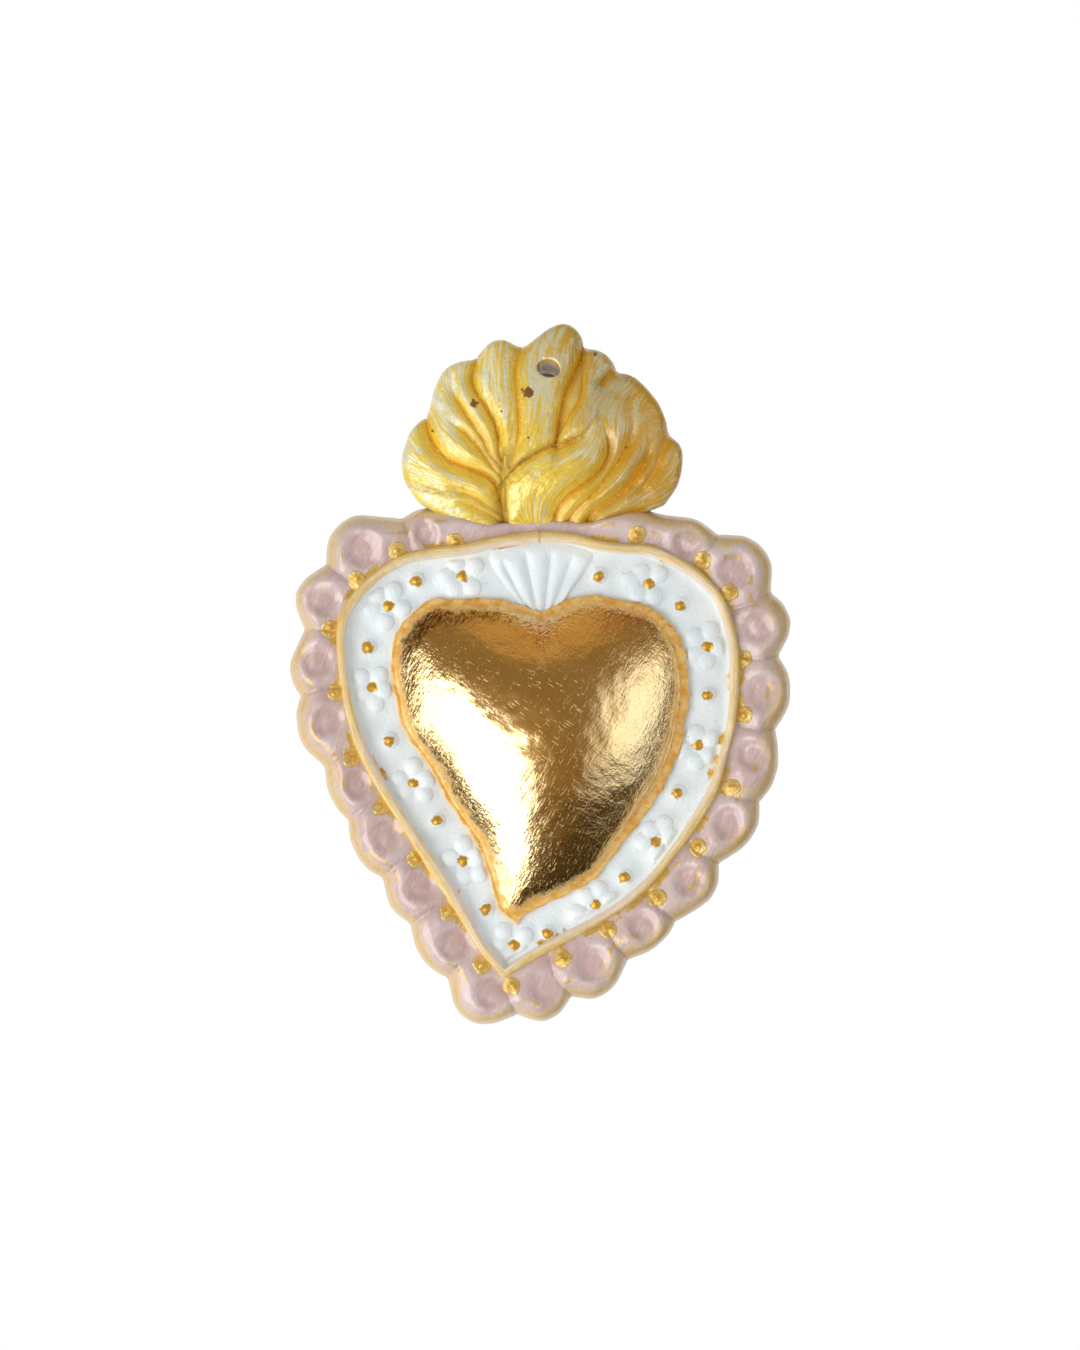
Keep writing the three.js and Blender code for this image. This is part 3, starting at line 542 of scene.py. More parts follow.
def white_paint(name, gold=None):
    """Thick white with brush marks. gold gives the share of gold over it."""
    p = Paint(name)
    brushed = p.strokes(2.4, 0.5, 0.5, 4, 0.62, 3)
    colour = p.mix(p.ramp(p.noise(0.13, 2, 0.5, 5), 0.35, 0.7), "e2eaec", "ecf1f2")
    colour = p.mix(p.ramp(brushed, 0.58, 0.8, 0, 0.5), colour, "f7f9f9")
    chips = (p.ramp(p.noise(0.42, 3, 0.6, 9), 0.6, 0.68)
             * p.ramp(p.noise(1.9, 3, 0.7, 11), 0.56, 0.62))
    colour = p.mix(chips * 0.55, colour, "cfb0aa")
    cells = p.node("TexVoronoi", {"Vector": p.place, "Scale": 0.35}, "Distance")
    specks = p.ramp(cells, 0.05, 0.09, 1, 0) * p.ramp(p.noise(0.2, 1), 0.5, 0.55)
    colour = p.mix(specks * 0.7, colour, "8a7466")
    normal = p.bump(brushed, 0.10, p.bump(p.noise(0.9, 3, 0.5, 2), 0.22))
    if gold is None:
        return p.finish(Base_Color=colour, Roughness=0.42, Normal=normal)
    return p.finish(Normal=normal, **gilded(p, gold(p), colour, 0.42, "d6a640", 0.34, 0.5))


def dab(p):
    """Share of gold on the middle of a flower or a pearl."""
    return p.ramp(p.mark("dab") + (p.noise(0.55, 3, 0.6, 14) - 0.5) * 3.0, 1.45, 1.65, 1, 0)


def rim_dab(p):
    """Share of gold on the field where the brush that painted the rim touched it."""
    near = p.ramp(p.mark("rim") + p.noise(0.6, 3, 0.6, 22) * 2.0, -2.1, -1.5)
    return near * p.ramp(p.noise(0.08, 3, 0.6, 21), 0.56, 0.62)


def pink_paint():
    """Brushed pink that turns beige and gold towards the edge, with gold round rim and studs."""
    p = Paint("pink_glaze")
    lobe = p.mark("lobe") * -1
    hatch = p.strokes(3.2, 0.4, -0.55, 4, 0.6, 4)
    wide = p.strokes(0.9, 0.16, -0.4, 4, 0.62, 7)
    colour = p.mix(p.ramp(p.noise(0.1, 3, 0.55, 6), 0.35, 0.65), "c8aba7", "d5bfbb")
    colour = p.mix(p.ramp(p.mark("dish"), 0.7, 1.0, 0.8, 0), colour, "ccaba7")
    colour = p.mix(p.ramp(wide, 0.5, 0.66, 0, 0.4), colour, "e4d3d0")
    colour = p.mix(p.ramp(hatch, 0.56, 0.78, 0, 0.42), colour, "e8d8d4")
    colour = p.mix(p.ramp(hatch, 0.25, 0.42, 0.35, 0), colour, "bb9d9b")
    ragged = (p.noise(0.2, 5, 0.66, 8) - 0.5) * 8.0
    colour = p.mix(p.ramp(lobe + ragged, 1.8, 4.0, 1, 0) * 0.85, colour, "e2c79e")
    outer = p.mix(p.ramp(p.mark("right"), -20, 45), "dbb067", "c8994e")
    colour = p.mix(p.ramp(lobe + ragged * 0.5, 0.2, 2.8, 0.9, 0), colour, outer)
    brushed = (p.ramp(p.strokes(1.3, 1.3, 0, 5, 0.65, 17), 0.5, 0.62)
               * p.ramp(lobe + ragged, 1.4, 3.8, 1, 0))
    line = (p.ramp(p.calc("ABSOLUTE", lobe + ragged * 0.35 - 4.6), 0.2, 0.75, 1, 0)
            * p.ramp(p.noise(0.13, 3, 0.6, 31), 0.53, 0.58))
    near_rim = (p.ramp(p.mark("rim") + ragged * 0.3, 2.5, 3.1, 1, 0)
                * p.ramp(p.noise(0.16, 3, 0.6, 33), 0.5, 0.55))
    halo = p.ramp(p.mark("stud") + (p.noise(0.6, 3, 0.6, 35) - 0.5) * 2.6, 2.35, 2.5, 1, 0)
    gold = p.most(p.most(brushed * 0.5, line * 0.8), p.most(near_rim, halo))
    normal = p.bump(hatch, 0.14, p.bump(wide, 0.3, p.bump(p.noise(0.7, 3, 0.55, 2), 0.2)))
    return p.finish(Normal=normal, **gilded(p, gold, colour, 0.32, "d8b45e", 0.38, 0.35),
                    Coat_Weight=0.7, Coat_Roughness=0.08)


def rim_paint():
    """Gold brushed along the rim, thinner on its inner side."""
    p = Paint("rim_gold")
    rim, along = p.mark("rim"), p.mark("along")
    fine = p.noise(1.0, 4, 0.7, 41, p.joined(rim * 3.2, along * 0.08))
    broad = p.noise(1.0, 3, 0.55, 43, p.joined(rim * 0.7, along * 0.035))
    base = p.mix(p.ramp(broad, 0.4, 0.6), "efd6c4", "f6e8d6")
    side = p.ramp(rim, -1.2, 1.6, -0.02, 0.12)
    gold = p.ramp(fine * 0.6 + broad * 0.4 + side, 0.465, 0.54)
    colour = p.mix(p.ramp(fine, 0.5, 0.6), "ecc866", "fbeaba")
    return p.finish(Normal=p.bump(fine, 0.5),
                    **gilded(p, gold * 0.9, base, 0.35, colour, 0.38, 0.25))


def stud_paint():
    p = Paint("stud_gold")
    colour = p.mix(p.ramp(p.mark("dab"), 0.5, 2.2), "d8a63c", "e2c172")
    colour = p.mix(p.ramp(p.noise(0.9, 3, 0.6, 51), 0.5, 0.62, 0, 0.7), colour, "f0e0a4")
    return p.finish(Base_Color=colour, Metallic=0.4, Roughness=0.32,
                    Normal=p.bump(p.noise(1.3, 3, 0.6, 52), 0.4))


def flame_paint():
    """Ochre dry-brushed over cream along the tongues, chipped, bare in the hanging hole, and
    darkened towards the top and right as painted shade.
    """
    p = Paint("flame_paint")
    flow, reach, right, crease, bore = map(p.mark, ("flow", "reach", "right", "crease", "bore"))
    wide = p.noise(1.0, 3, 0.6, 60, p.joined(flow * 3.0, reach * 0.045))
    streak = p.noise(1.0, 2, 0.6, 61, p.joined(flow * 9.0, reach * 0.09))
    fine = p.noise(1.0, 2, 0.6, 62, p.joined(flow * 19.0, reach * 0.16))
    broad = p.noise(0.07, 3, 0.55, 63)
    # the cream and the ochre darken towards the top and the right: a painted falloff of the light,
    # painted shade
    painted_falloff = p.ramp(right + reach * 0.9, 12, 62)
    pale = p.mix(painted_falloff, p.mix(p.ramp(broad, 0.4, 0.6), "dcdabc", "f0eed6"), "c6c294")
    ochre = p.mix(painted_falloff, p.mix(p.ramp(fine, 0.4, 0.6), "eabc14", "fcde4a"), "d09a06")
    amount = (streak * 0.4 + fine * 0.45 + wide * 0.34 + (broad - 0.5) * 0.2
              + p.ramp(reach, 12, 44, 0.1, 0.01) + p.ramp(right, 14, 34, 0, 0.07)
              + p.ramp(crease, 0.0, 0.8, 0.14, 0.0))
    gold = p.ramp(amount, 0.575, 0.685)
    deep = p.ramp(crease + (streak - 0.5) * 0.6, -0.02, 0.2, 1, 0)
    colour = p.mix(deep * 0.9, p.mix(gold * 0.85 + 0.1, pale, ochre), "efac04")
    chip = p.ramp(p.mark("chip") + (p.noise(1.0, 4, 0.7, 66) - 0.5) * 2.4, 0.75, 0.85, 1, 0)
    bare = p.ramp(bore + p.noise(0.5) * 0.8, 2.4, 3.0)
    colour = p.mix(chip, p.mix(p.ramp(bore, 0.2, 1.0), colour, "e0a41c"), "7c4e20")
    metal = (p.most(gold, deep) * 0.05 + 0.02) * (p.most(chip, bare) * -1 + 1)
    normal = p.bump(streak, 0.3, p.bump(fine, 0.2, p.bump(p.noise(0.8, 3, 0.5, 2), 0.3)))
    return p.finish(Base_Color=p.mix(bare, colour, "dccfb6"), Metallic=metal, Roughness=0.27,
                    Normal=normal, IOR=2.15)


def leaf():
    """Crinkled gold leaf on the dome, duller and worn on the flange, with a painted dark
    reflection where they meet.
    """
    p = Paint("gold_leaf")
    edge, pink_glints = p.mark("edge") * -1, p.mark("pink_glints")
    patchy = p.noise(0.36, 4, 0.62, 70)
    ragged = edge + (patchy - 0.5) * 6.0
    foot = p.ramp(ragged, 1.6, 4.0)
    steep = p.ramp(edge, 2.0, 4.0) * p.ramp(edge, 9.0, 30, 1, 0)
    rumple = p.noise(0.8, 3, 0.5, 71, warp=0.5)
    creased = p.strokes(0.45, 1.5, 1.0, 2, 0.5, 73, 0.3)
    crossed = p.strokes(0.5, 1.3, -0.5, 2, 0.5, 74, 0.3)
    lines = p.most(p.ramp(p.strokes(0.2, 5.0, 1.05, 3, 0.6, 75), 0.62, 0.68),
                   p.ramp(p.strokes(0.25, 5.5, -0.6, 2, 0.6, 76), 0.66, 0.7))
    dome = p.mix(p.ramp(p.noise(0.07, 3, 0.5, 77), 0.35, 0.65), "fce6b4", "f8dea4")
    # a pink tint in the crinkles at the shoulders and the cleft: painted glints, a painted
    # highlight
    dome = p.mix(pink_glints * p.ramp(rumple, 0.35, 0.6), dome, "f3b48a")
    flange = p.mix(p.ramp(patchy, 0.38, 0.6), "e0a646", "f0c678")
    flange = p.mix(p.ramp(rumple, 0.5, 0.7, 0, 0.5), flange, "c98632")
    # a dark band painted on the leaf where the dome meets the flange, stronger on the left: a
    # painted dark reflection
    side = p.ramp(p.mark("right"), -30, 6, 1, 0)
    shade = (p.ramp(ragged, 2.0, 4.2) * p.ramp(ragged + side * -2.0, 3.6, 7.0, 1, 0)
             * (p.ramp(creased, 0.38, 0.6, 0.95, 0.25) * (side * 0.5 + 0.45)))
    colour = p.mix(shade, p.mix(foot, flange, dome), "62491a")
    worn = (p.ramp(edge + patchy * 2.0, 0.6, 2.2, 1, 0)
            * p.ramp(p.noise(1.0, 4, 0.7, 78), 0.58, 0.62))
    wrinkled = steep * 0.7 + 0.45 + pink_glints * 1.6
    normal = p.bump(creased * wrinkled, 0.11, p.bump(rumple, 0.05))
    normal = p.bump(lines, 0.016, p.bump(crossed * wrinkled, 0.09, normal))
    return p.finish(Base_Color=p.mix(worn, colour, "7c4f2a"), Metallic=foot * 0.8 + 0.2,
                    Roughness=foot * -0.23 + 0.42 + lines * 0.1, Normal=normal)


def clay():
    p = Paint("bare_clay")
    grain = p.noise(1.4, 4, 0.6)
    colour = p.mix(p.ramp(p.noise(0.06, 3, 0.5, 81), 0.35, 0.65), "d3c6b2", "ddd3c4")
    colour = p.mix(p.ramp(grain, 0.62, 0.8, 0, 0.5), colour, "b9a88f")
    return p.finish(Base_Color=colour, Roughness=0.86, Normal=p.bump(grain, 0.25))


def ground():
    p = Paint("floor_paint")
    return p.finish(Base_Color=p.mix(p.noise(0.01), "f0f0f0", "f4f4f4"), Roughness=0.9)


PLAIN_WHITE = white_paint("white_glaze")
DABBED_WHITE = white_paint("white_dabbed", dab)
FIELD_WHITE = white_paint("white_field", rim_dab)
PINK = pink_paint()
RIM_GOLD = rim_paint()
STUD_GOLD = stud_paint()
LEAF = leaf()
FLAME = flame_paint()
CLAY = clay()


# Shared lines, and how far every place lies from them
whole = Sheet((-78, -194), (73, 15), 0.3)
rim_line = np.vstack([spline(RIM_RIGHT)[:-1], spline(RIM_LEFT)[:-1]])
heart_line = np.vstack([spline(HEART_RIGHT)[:-1], spline(HEART_LEFT)[:-1]])
flame_line = rounded(FLAMES, 0.8)
lobe_line = rounded(BORDER_EDGE, 1.0)

rim_gap, rim_along = whole.nearest(rim_line, closed=True)
heart_gap, _ = whole.nearest(heart_line, closed=True)
flame_gap, _ = whole.nearest(flame_line, closed=True)
lobe_gap, _ = whole.nearest(lobe_line, closed=True)

rim_half = RIM_HALF[0] + RIM_HALF[1] * whole.cloud(16, 1)


# Border: pillows with thumbed dishes, rolled over at the edge, and seams from their notches
def pillows(sheet):
    inner = np.maximum(-lobe_gap, 0)
    top = BORDER_GROUND + (LOBE_TOP - BORDER_GROUND) * smooth(rim_gap, 1.5, 8)
    top -= LOBE_ROLL[0] * np.clip(1 - inner / LOBE_ROLL[1], 0, 1) ** 1.8
    for notch in NOTCHES:
        foot = rim_line[np.argmin(np.hypot(*(rim_line - notch).T))]
        dx, dy = way = foot - notch
        middle = (foot + notch) / 2 + np.array([-dy, dx]) * 0.06
        gap, along, _ = sheet.nearest(spline([notch, middle, foot - 0.1 * way], 1.0))
        share = along / np.hypot(dx, dy)
        top -= SEAM_DEPTHS[0] * (1 - 0.8 * share) * np.clip(1 - gap / 3.6, 0, 1) ** 2
        top -= SEAM_DEPTHS[1] * smooth(share, 0.9, 0.5) * np.exp(-(gap / 0.5) ** 2)
    dish_mark = np.full(sheet.x.shape, 9.0)
    waver = sheet.cloud(5, 11) + 0.5 * sheet.cloud(2.2, 12)
    for x, y, radius in DISHES:
        dx, dy = sheet.x - x, sheet.y - y
        turn, long = rng.uniform(0, math.pi), rng.uniform(1.0, 1.16)
        across = (dx * math.cos(turn) + dy * math.sin(turn)) / long
        t = np.hypot(across, dy * math.cos(turn) - dx * math.sin(turn)) / radius + 0.09 * waver
        top += 0.3 * np.exp(-((t - 1.25) / 0.3) ** 2)
        top -= rng.uniform(*DISH_DEPTHS) * smooth(t, 1.12, 0.45)
        dish_mark = np.minimum(dish_mark, t)
    top += 0.18 * sheet.cloud(5, 2) + 0.07 * sheet.cloud(1.8, 3)
    return top, dish_mark


border_top, dish_mark = pillows(whole)
border_edge = np.max([lobe_gap, -rim_gap - 0.8, -flame_gap - 2.0], axis=0)
stud_mark = np.min([whole.away(x, y) for x, y in STUDS], axis=0)
carve("border_pink", whole, border_edge, border_top, SLAB_TOP - SINK, 0.55, (1.6, 0.8), PINK,
      "pink_glaze", ["scalloped_border"],
      {"rim": rim_gap, "lobe": lobe_gap * (0.87 - 0.17 * np.tanh(whole.x / 25)),
       "dish": dish_mark, "stud": stud_mark, "right": whole.x})

# Rim: a raised band with the marks of the brush along it
rim_share = np.clip(np.abs(rim_gap) / rim_half, 0, 1)
groove = smooth(whole.cloud(15, 6), -0.2, 0.4) * np.exp(-((rim_gap + 0.5) / 0.35) ** 2)
rim_top = (RIM_TOP - 1.7 * rim_share ** 3.4 - 0.25 * groove + 0.25 * whole.cloud(5, 4)
           + 0.12 * whole.cloud(1.6, 5))
carve("rim_gilded", whole, np.abs(rim_gap) - rim_half, rim_top, FIELD_TOP - 0.5, 0.42, (0.9, 0.2),
      RIM_GOLD, "gold_paint", ["rim_band"], {"rim": rim_gap, "along": rim_along})

# Field: a plate with soft hollows, drawn up at the rim and round the flowers
field_top = (FIELD_TOP + 0.12 * whole.cloud(7, 7) + 0.05 * whole.cloud(2.5, 8)
             + 0.9 * np.exp(np.minimum(rim_gap + rim_half, 0) / 0.9))
swells = [(x + px, y + py, 3.3, 0.75) for (x, y), petals in FLOWERS for px, py in petals]
swells += [(x, y, 3.2, 0.7) for x, y in PEARLS]
skirts = sum((rise * np.exp(-(whole.away(x, y) / radius) ** 2.6)) ** 3
             for x, y, radius, rise in swells)
field_top += np.cbrt(skirts) * smooth(-rim_gap, 1.8, 3.6)
carve("field_white", whole, np.maximum(rim_gap + 0.3, -heart_gap - HOLLOW_INSET), field_top,
      SLAB_TOP, 0.6, (0.2, 0.2), FIELD_WHITE, "white_glaze", ["inner_field"], {"rim": rim_gap})


def hanging_hole(x, y, z):
    """Positive inside the hole."""
    turn = math.radians(HOLE_TURN)
    y = y - MOUTH[1] - z * math.tan(math.radians(HOLE_FALL))
    long, short = HOLE_RADII
    across = math.cos(turn) * x + math.sin(turn) * y
    up = -math.sin(turn) * x + math.cos(turn) * y
    return short * (1 - np.hypot(across / long, up / short))


# Slab behind everything, rounded at the back
slab_edge = np.maximum(np.minimum(lobe_gap + 1.2, flame_gap + 1.8), -heart_gap - HOLLOW_INSET)
carve("slab_clay", whole, slab_edge, np.full(whole.x.shape, SLAB_TOP), 0.0, 0.7, (0.3, 1.6), CLAY,
      "bare_clay", ["back_slab"], hole=hanging_hole)


# Fan: rounded ribs that spread from below the cleft
def ribs(sheet):
    reach = sheet.away(*FAN_APEX)
    turn = np.degrees(np.arctan2(sheet.x - FAN_APEX[0], sheet.y - FAN_APEX[1]))
    side = np.minimum(turn - FAN_SPREAD[0], FAN_SPREAD[1] - turn)
    height = 1.7 * np.where(turn > 0, smooth(side, -2, 3), smooth(side, -2, 9))
    height *= smooth(reach, 4, 10) * (1 - 0.6 * smooth(reach, FAN_REACH - 3, FAN_REACH + 2))
    furrows = sum(np.exp(-np.abs(np.radians(turn - angle) * reach / (0.3 + 0.045 * reach)) ** 1.6)
                  for angle in FAN_FURROWS) * smooth(reach, FURROW_REACH + 2.5, FURROW_REACH - 2.5)
    top = FIELD_TOP - 0.3 + height * (1 - 0.7 * np.clip(furrows, 0, 1)) + 0.06 * sheet.cloud(2, 9)
    edge = np.max([-sheet.take(whole, heart_gap) - 1.0, sheet.take(whole, rim_gap) + 1.2,
                   (-3.0 - side) * 0.3], axis=0)
    return edge, top


fan = Sheet((-24, -82), (18, -48), 0.25)
carve("fan_white", fan, *ribs(fan), FIELD_TOP - 1.0, 0.35, (0.4, 0.2), PLAIN_WHITE,
      "white_glaze", ["shell_fan"])


# Flowers, pearls and studs
def blossom(index, x, y, petals):
    sheet = Sheet((x - 9.5, y - 9.5), (x + 9.5, y + 9.5), 0.12)
    dx, dy = sheet.x - x, sheet.y - y
    room = np.minimum(-sheet.take(whole, rim_gap) - 2.1, sheet.take(whole, heart_gap) + 0.3)
    lumps = np.zeros(sheet.x.shape)
    for px, py in petals:
        size = rng.uniform(*PETAL_SIZES)
        painted_falloff = math.hypot(px, py)
        out, beside = ((dx * px + dy * py) / painted_falloff - painted_falloff) / 1.12, (dx * py - dy * px) / painted_falloff
        t = np.hypot(out, beside) / size
        lumps += (rng.uniform(*PETAL_RISES) * np.exp(-(t ** 2.6)) + 0.001) ** 3
    nub = np.hypot(dx, dy)
    lumps += (1.1 * np.exp(-(nub / 1.5) ** 2.6) + 0.001) ** 3
    spread = np.min([np.hypot(dx - px, dy - py) for px, py in petals + [(0, 0)]], axis=0)
    top = (FIELD_TOP + 0.12 + np.cbrt(lumps) * smooth(room, -0.6, 1.6)
           + 0.04 * sheet.cloud(1.6, index) - 0.9 * smooth(spread, 2.2, 3.8))
    edge = np.maximum(spread - 4.2, -room - 1.2)
    carve(f"flower_white_{index + 1:02d}", sheet, edge, top, FIELD_TOP - 0.8, 0.26, (0.3, 0.1),
          DABBED_WHITE, "white_glaze", [f"flower_{index + 1:02d}"], {"dab": nub})


def pearl(index, x, y):
    sheet = Sheet((x - 4.5, y - 4.5), (x + 4.5, y + 4.5), 0.1)
    dx, dy = sheet.x - x, sheet.y - y
    t, nub = np.hypot(dx, dy), np.hypot(dx + 0.35, dy + 0.3)
    top = (FIELD_TOP + 1.5 * np.exp(-(t / 2.4) ** 2.6) + 0.75 * np.exp(-(nub / 1.5) ** 2.6)
           + 0.04 * sheet.cloud(1.2, 40 + index) - 0.8 * smooth(t, 2.1, 3.4))
    carve(f"pearl_white_{index + 1:02d}", sheet, t - 3.6, top, FIELD_TOP - 0.7, 0.24, (0.3, 0.1),
          DABBED_WHITE, "white_glaze", [f"pearl_{index + 1:02d}"], {"dab": nub})


def stud(index, x, y):
    sheet = Sheet((x - 4, y - 4), (x + 4, y + 4), 0.1)
    away = sheet.away(x, y)
    t = np.maximum(away + 0.4 * sheet.cloud(1.8, 60 + index), 0)
    top = (sheet.take(whole, border_top) + 0.5 * np.exp(-(t / 2.4) ** 6)
           + 0.75 * np.exp(-t ** 2) - 0.5 * smooth(t, 2.4, 2.9))
    carve(f"stud_gold_{index + 1:02d}", sheet, away - 3.3, top, BORDER_GROUND - 1.5, 0.22,
          (0.2, 0.1), STUD_GOLD, "gold_paint", [f"stud_{index + 1:02d}"], {"dab": t})


for number, ((x, y), petals) in enumerate(FLOWERS):
    blossom(number, x, y, petals)
for number, (x, y) in enumerate(PEARLS):
    pearl(number, x, y)
for number, (x, y) in enumerate(STUDS):
    stud(number, x, y)


# Flames
def relaxed(values, free, source, haste, rounds):
    """Evens the values out over the free places, as a skin that a source of pressure puffs up."""
    parity = np.add.outer(*(np.arange(count) for count in values.shape)) % 2
    for _ in range(rounds):
        for colour in (0, 1):
            edged = np.pad(values, 1, mode="edge")
            around = edged[2:, 1:-1] + edged[:-2, 1:-1] + edged[1:-1, 2:] + edged[1:-1, :-2]
            values = np.where(free & (parity == colour),
                              values + haste * ((around + source) / 4 - values), values)
    return values


def tongues(sheet, gap):
    """Height of the flames, how close each place is to a crease, and the run of the tongues."""
    inner = np.maximum(-gap, 0)
    middle = np.exp(-(((sheet.x + 1) / 26) ** 2 + ((sheet.y + 31) / 22) ** 2))
    top = FLAME_EDGE + (3.2 + 4.2 * middle) * (1 - np.exp(-(inner / 7.5) ** 1.4))
    grooves = np.zeros(sheet.x.shape)
    crease = np.full(sheet.x.shape, 1.5)
    loose = Sheet(sheet.low, (sheet.x.max(), sheet.y.max()), 0.66)
    run, known = np.zeros(loose.x.shape), np.zeros(loose.x.shape, bool)
    for order, (line, depth, width, step, (free_root, free_tip)) in CREASES:
        points = spline(line, 1.2)
        distance, along, side = sheet.nearest(points)
        share = along / np.hypot(*np.diff(points, axis=0).T).sum()
        fade = ((smooth(share, 0, 0.35) if free_root else 1)
                * (1 - free_tip * smooth(share, 0.65, 1)))
        grooves += (depth * fade * np.clip(1 - distance / width, 0, 1) ** 2) ** 3
        top -= np.where(side * step > 0, abs(step) * fade * np.exp(-(distance / 4.5) ** 1.5), 0)
        crease = np.minimum(crease, distance / width + 1.2 * (1 - fade))
        if whole.read(flame_gap, *points[-1]) < -1 and order != LONG_FOLD:
            beyond = points[-1] + (points[-1] - FLAME_ROOT) * 0.8
            points = np.vstack([points, np.linspace(points[-1], beyond, 30)[1:]])
        distance, along, side = loose.nearest(points)
        on_line = distance < 0.5
        run[on_line], known = order, known | on_line
        if order == LONG_FOLD:
            bank = (distance > 0.5) & (distance < 1.3) & (side * step < 0)
            bank_run = np.interp(along / along.max(), *LONG_FOLD_BANK)
            run, known = np.where(bank, bank_run, run), known | bank
    turns = {order: math.atan2(line[-1][0] - FLAME_ROOT[0], line[-1][1] - FLAME_ROOT[1])
             for order, (line, *_) in CREASES if isinstance(order, int)}
    turn = np.arctan2(loose.x - FLAME_ROOT[0], loose.y - FLAME_ROOT[1])
    at_edge = (np.abs(loose.take(whole, flame_gap)) < 0.6) & (loose.y > -42) & ~known
    edge_run = np.interp(turn, list(turns.values()), list(turns))
    run, known = np.where(at_edge, edge_run, run), known | at_edge
    run = np.where(known, run, run[known].mean())
    run = sheet.take(loose, relaxed(run, ~known, 0, 1.9, 700))
    top += 0.1 * sheet.cloud(3, 80) + 0.04 * sheet.cloud(1.1, 81)
    return top - np.cbrt(grooves), crease, run


crown = Sheet((-45, -52), (42, 14), 0.22)
crown_gap = crown.take(whole, flame_gap)
crown_top, crease, run = tongues(crown, crown_gap)
chip = np.min([crown.away(x, y) / radius for x, y, radius in CHIPS], axis=0)


def bore(x, y, z):
    """How far a place lies down in the hanging hole, below the front of the flames."""
    return np.where(hanging_hole(x, y, z) > -0.5, crown.read(crown_top, x, y) - z, 0)


carve("flames_painted", crown, crown_gap, crown_top, SLAB_TOP - SINK, 0.4, (2.6, 0.5), FLAME,
      "flame_paint", ["flame_crown"],
      {"crease": crease, "flow": run, "reach": crown.away(*FLAME_ROOT), "right": crown.x,
       "chip": chip, "bore": bore}, hanging_hole)


# Gilded heart: puffed up from its flange, hollow behind
boss = Sheet((-50, -166), (44, -63), 0.6)
boss_gap = boss.take(whole, heart_gap)


def flange_width(x, y):
    tip, left, right = FLANGE_WIDTHS
    above = left + (right - left) * smooth(x, 10, 34) * smooth(y, -70, -82)
    return tip + (above - tip) * smooth(y, -158, -125)


swell = relaxed(np.zeros(boss.x.shape), boss_gap + flange_width(boss.x, boss.y) < 0,
                boss.step ** 2, 1.95, 500)
swell /= swell.max()


def boss_height(x, y):
    gap = whole.read(heart_gap, x, y) + flange_width(x, y)
    swollen = np.clip(boss.read(swell, x, y), 0, 1)
    lift = (1.05 * swollen) ** 1.35 / (swollen + 0.05) ** 0.47
    ripple = 0.1 * whole.read(leaf_ripple, x, y)
    cleft = 1.3 * np.exp(-np.abs(x - HEART_RIGHT[0][0]) / 1.6) * smooth(y, -88, -76)
    return FLANGE_TOP + (DOME_RISE * lift - cleft) * smooth(-gap, -0.8, 1.2) + ripple


leaf_ripple = whole.cloud(4, 90) + 0.5 * whole.cloud(1.9, 91)
outline = spline(np.vstack([heart_line, heart_line[:1]]), 0.62)[:-1]
ragged = np.interp(np.arange(len(outline)), np.arange(0, len(outline) + 3, 3),
                   rng.uniform(-0.012, 0.008, len(outline) // 3 + 1 + (len(outline) % 3 > 0)))
outline += (HEART_CENTRE - outline) * ragged[:, None]


def heart_skin(shares, lift):
    """Points on spokes from the heart's outline to its middle, and the faces between them, seen
    from behind. lift turns the heights of the rings of points into the ones wanted."""
    rings = [outline + (HEART_CENTRE - outline) * share for share in shares]
    tops = lift([boss_height(*ring.T) for ring in rings])
    points = [np.column_stack(ring_and_top) for ring_and_top in zip(rings, tops)]
    points = np.vstack(points + [[*HEART_CENTRE, tops[-1].mean()]])
    count, summit = len(outline), len(points) - 1
    last = summit - count
    faces = [[ring + i, ring + (i + 1) % count, ring + count + (i + 1) % count, ring + count + i]
             for ring in range(0, last, count) for i in range(count)]
    faces += [[last + i, last + (i + 1) % count, summit] for i in range(count)]
    return points, faces


points, faces = heart_skin(
    np.r_[0, np.linspace(0.002, 0.15, 26), np.linspace(0.16, 0.985, 96)],
    lambda tops: [np.full(len(outline), FIELD_TOP - 0.3), tops[1] - 0.15, *tops[2:]])
x, y = points[:, :2].T
# where the pink glints are painted on the leaf, a painted highlight
pink_glints = sum(np.exp(-((x - cx) / wide) ** 2 - ((y - cy) / high) ** 2)
             for cx, cy, wide, high in PINK_GLINT_SPOTS)
add_mesh("heart_gilded", points, [face[::-1] for face in faces],
         {"edge": whole.read(heart_gap, x, y), "pink_glints": pink_glints, "right": x}, LEAF,
         ["heart_boss"])

# The clay inside it, seen from behind
points, faces = heart_skin(
    np.linspace(0.11, 0.985, 40),
    lambda tops: [np.maximum(top - DOME_WALL, FIELD_TOP - 0.2) for top in tops])
add_mesh("heart_hollow", points, faces, {}, CLAY, ["heart_boss"])


# Camera, light and ground
LONG_SIDE, MM_PER_PIXEL = 1350, 0.285
LENS, SENSOR = 150.0, 36.0
VIEW_CENTRE = (-2.4, -81.0)     # x and height, millimetres
SHARP_PLANE = 10.0              # distance from the wall at which a pixel is MM_PER_PIXEL
FLOOR_HEIGHT, FLOOR_HALF = -1.4, 1.6    # metres
LIT_PLACE = (0, 0, -0.09)       # metres, what the lamps point at

camera = placed("camera", bpy.data.cameras.new("camera"))
camera.data.lens, camera.data.sensor_width = LENS, SENSOR
away = LONG_SIDE * MM_PER_PIXEL * LENS / SENSOR + SHARP_PLANE
camera.location = (VIEW_CENTRE[0] * MM, -away * MM, VIEW_CENTRE[1] * MM)
camera.rotation_euler = (math.pi / 2, 0, 0)
bpy.context.scene.camera = camera


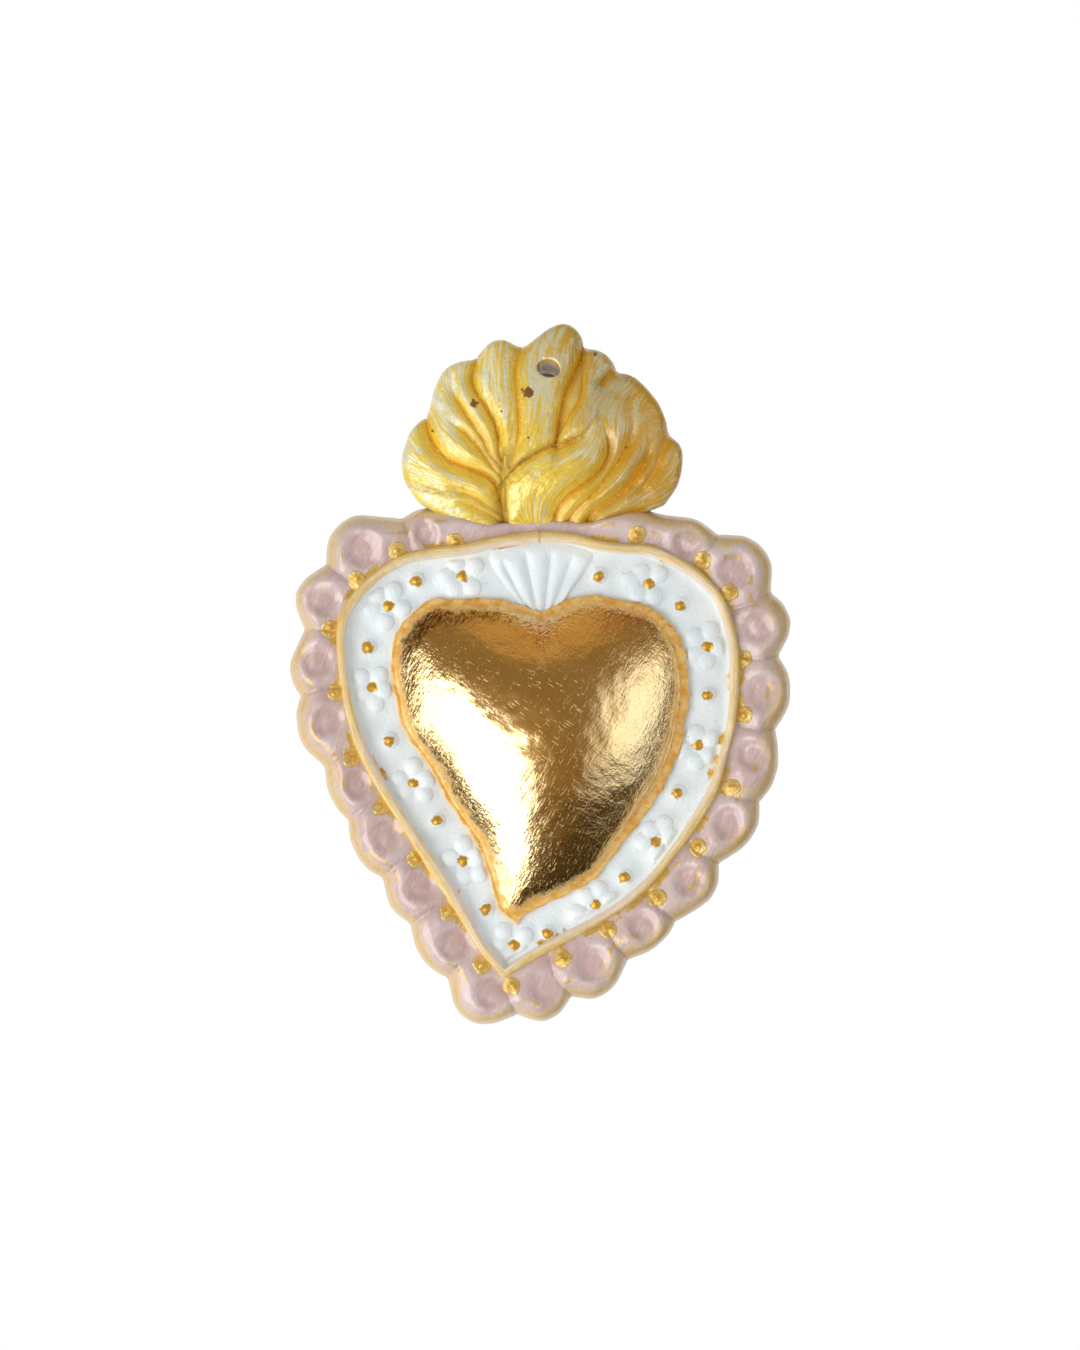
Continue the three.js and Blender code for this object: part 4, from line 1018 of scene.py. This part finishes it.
def softbox(name, towards, distance, size, radiance, roll=0):
    """A lamp that way from the ornament, turned to it, as bright as given, where white is 1."""
    lamp = bpy.data.lights.new(name, "AREA")
    lamp.shape = "RECTANGLE"
    lamp.size, lamp.size_y = size
    lamp.energy = radiance * math.pi * size[0] * size[1]
    holder = placed(name, lamp)
    ray = -np.array(towards) / np.linalg.norm(towards)
    holder.location = LIT_PLACE - ray * distance
    aim = Euler((math.acos(-ray[2]), 0, math.atan2(ray[1], ray[0]) - math.pi / 2)).to_matrix()
    holder.rotation_euler = (aim @ Matrix.Rotation(math.radians(roll), 3, "Z")).to_euler()


softbox("key", (-0.69, -0.61, -0.39), 0.75, (0.78, 0.76), 3.2, 45)
softbox("fill", (0.85, -0.52, -0.03), 1.2, (0.6, 0.85), 0.65)
softbox("fill_wide", (0.83, -0.55, -0.03), 1.25, (1.05, 1.35), 0.5)


def surroundings():
    """White behind the ornament and for the camera, a dim room in the metal, even light."""
    world = bpy.context.scene.world = bpy.data.worlds.new("studio")
    graph = Graph(world)
    view = graph.node("TexCoord", {}, "Generated")

    def background(strength, colour=(1, 1, 1)):
        return graph.node("Background", {"Color": (*colour, 1), "Strength": strength})

    def ray(kind):
        return graph.node("LightPath", {}, f"Is {kind} Ray")

    def choose(share, first, second):
        return graph.node("MixShader", {0: share, 1: first, 2: second})

    def glow(towards, low, high, start, end):
        """A strength that grows from start to end as the view turns that way."""
        facing = graph.node("VectorMath", {0: view, 1: towards}, "Value", operation="DOT_PRODUCT")
        return graph.ramp(facing, low, high, start, end)

    dim = (glow((-0.2, -0.8, 0.55), -0.1, 0.45, 0.05, 0.23)
           + glow((-0.35, -0.92, -0.18), 0.84, 1.0, 0.0, 0.14)
           + glow((0.0, -0.3, 0.95), 0.88, 1.0, 0.0, 0.3))
    metal = choose(glow((0, 1, 0), 0.2, 0.8, 0.0, 1.0), background(dim, (1, 0.58, 0.17)),
                   background(1.0))
    sky = glow((0, -0.3, 0.95), -0.3, 1.0, 0.14, 0.75)
    even = choose(ray("Glossy"), background(sky, (0.94, 0.98, 1)), metal)
    seen = choose(graph.most(ray("Camera"), ray("Transmission")), even, background(1.0))
    graph.node("OutputWorld", {0: seen})


surroundings()

floor_mesh = bpy.data.meshes.new("floor")
corners = ((-1, -1), (1, -1), (1, 1), (-1, 1))
floor_mesh.from_pydata([(x * FLOOR_HALF, y * FLOOR_HALF, FLOOR_HEIGHT) for x, y in corners], [],
                       [(0, 1, 2, 3)])
floor_mesh.materials.append(ground())
floor = placed("floor", floor_mesh)
floor.visible_glossy = False

bpy.context.scene.view_settings.view_transform = "Standard"
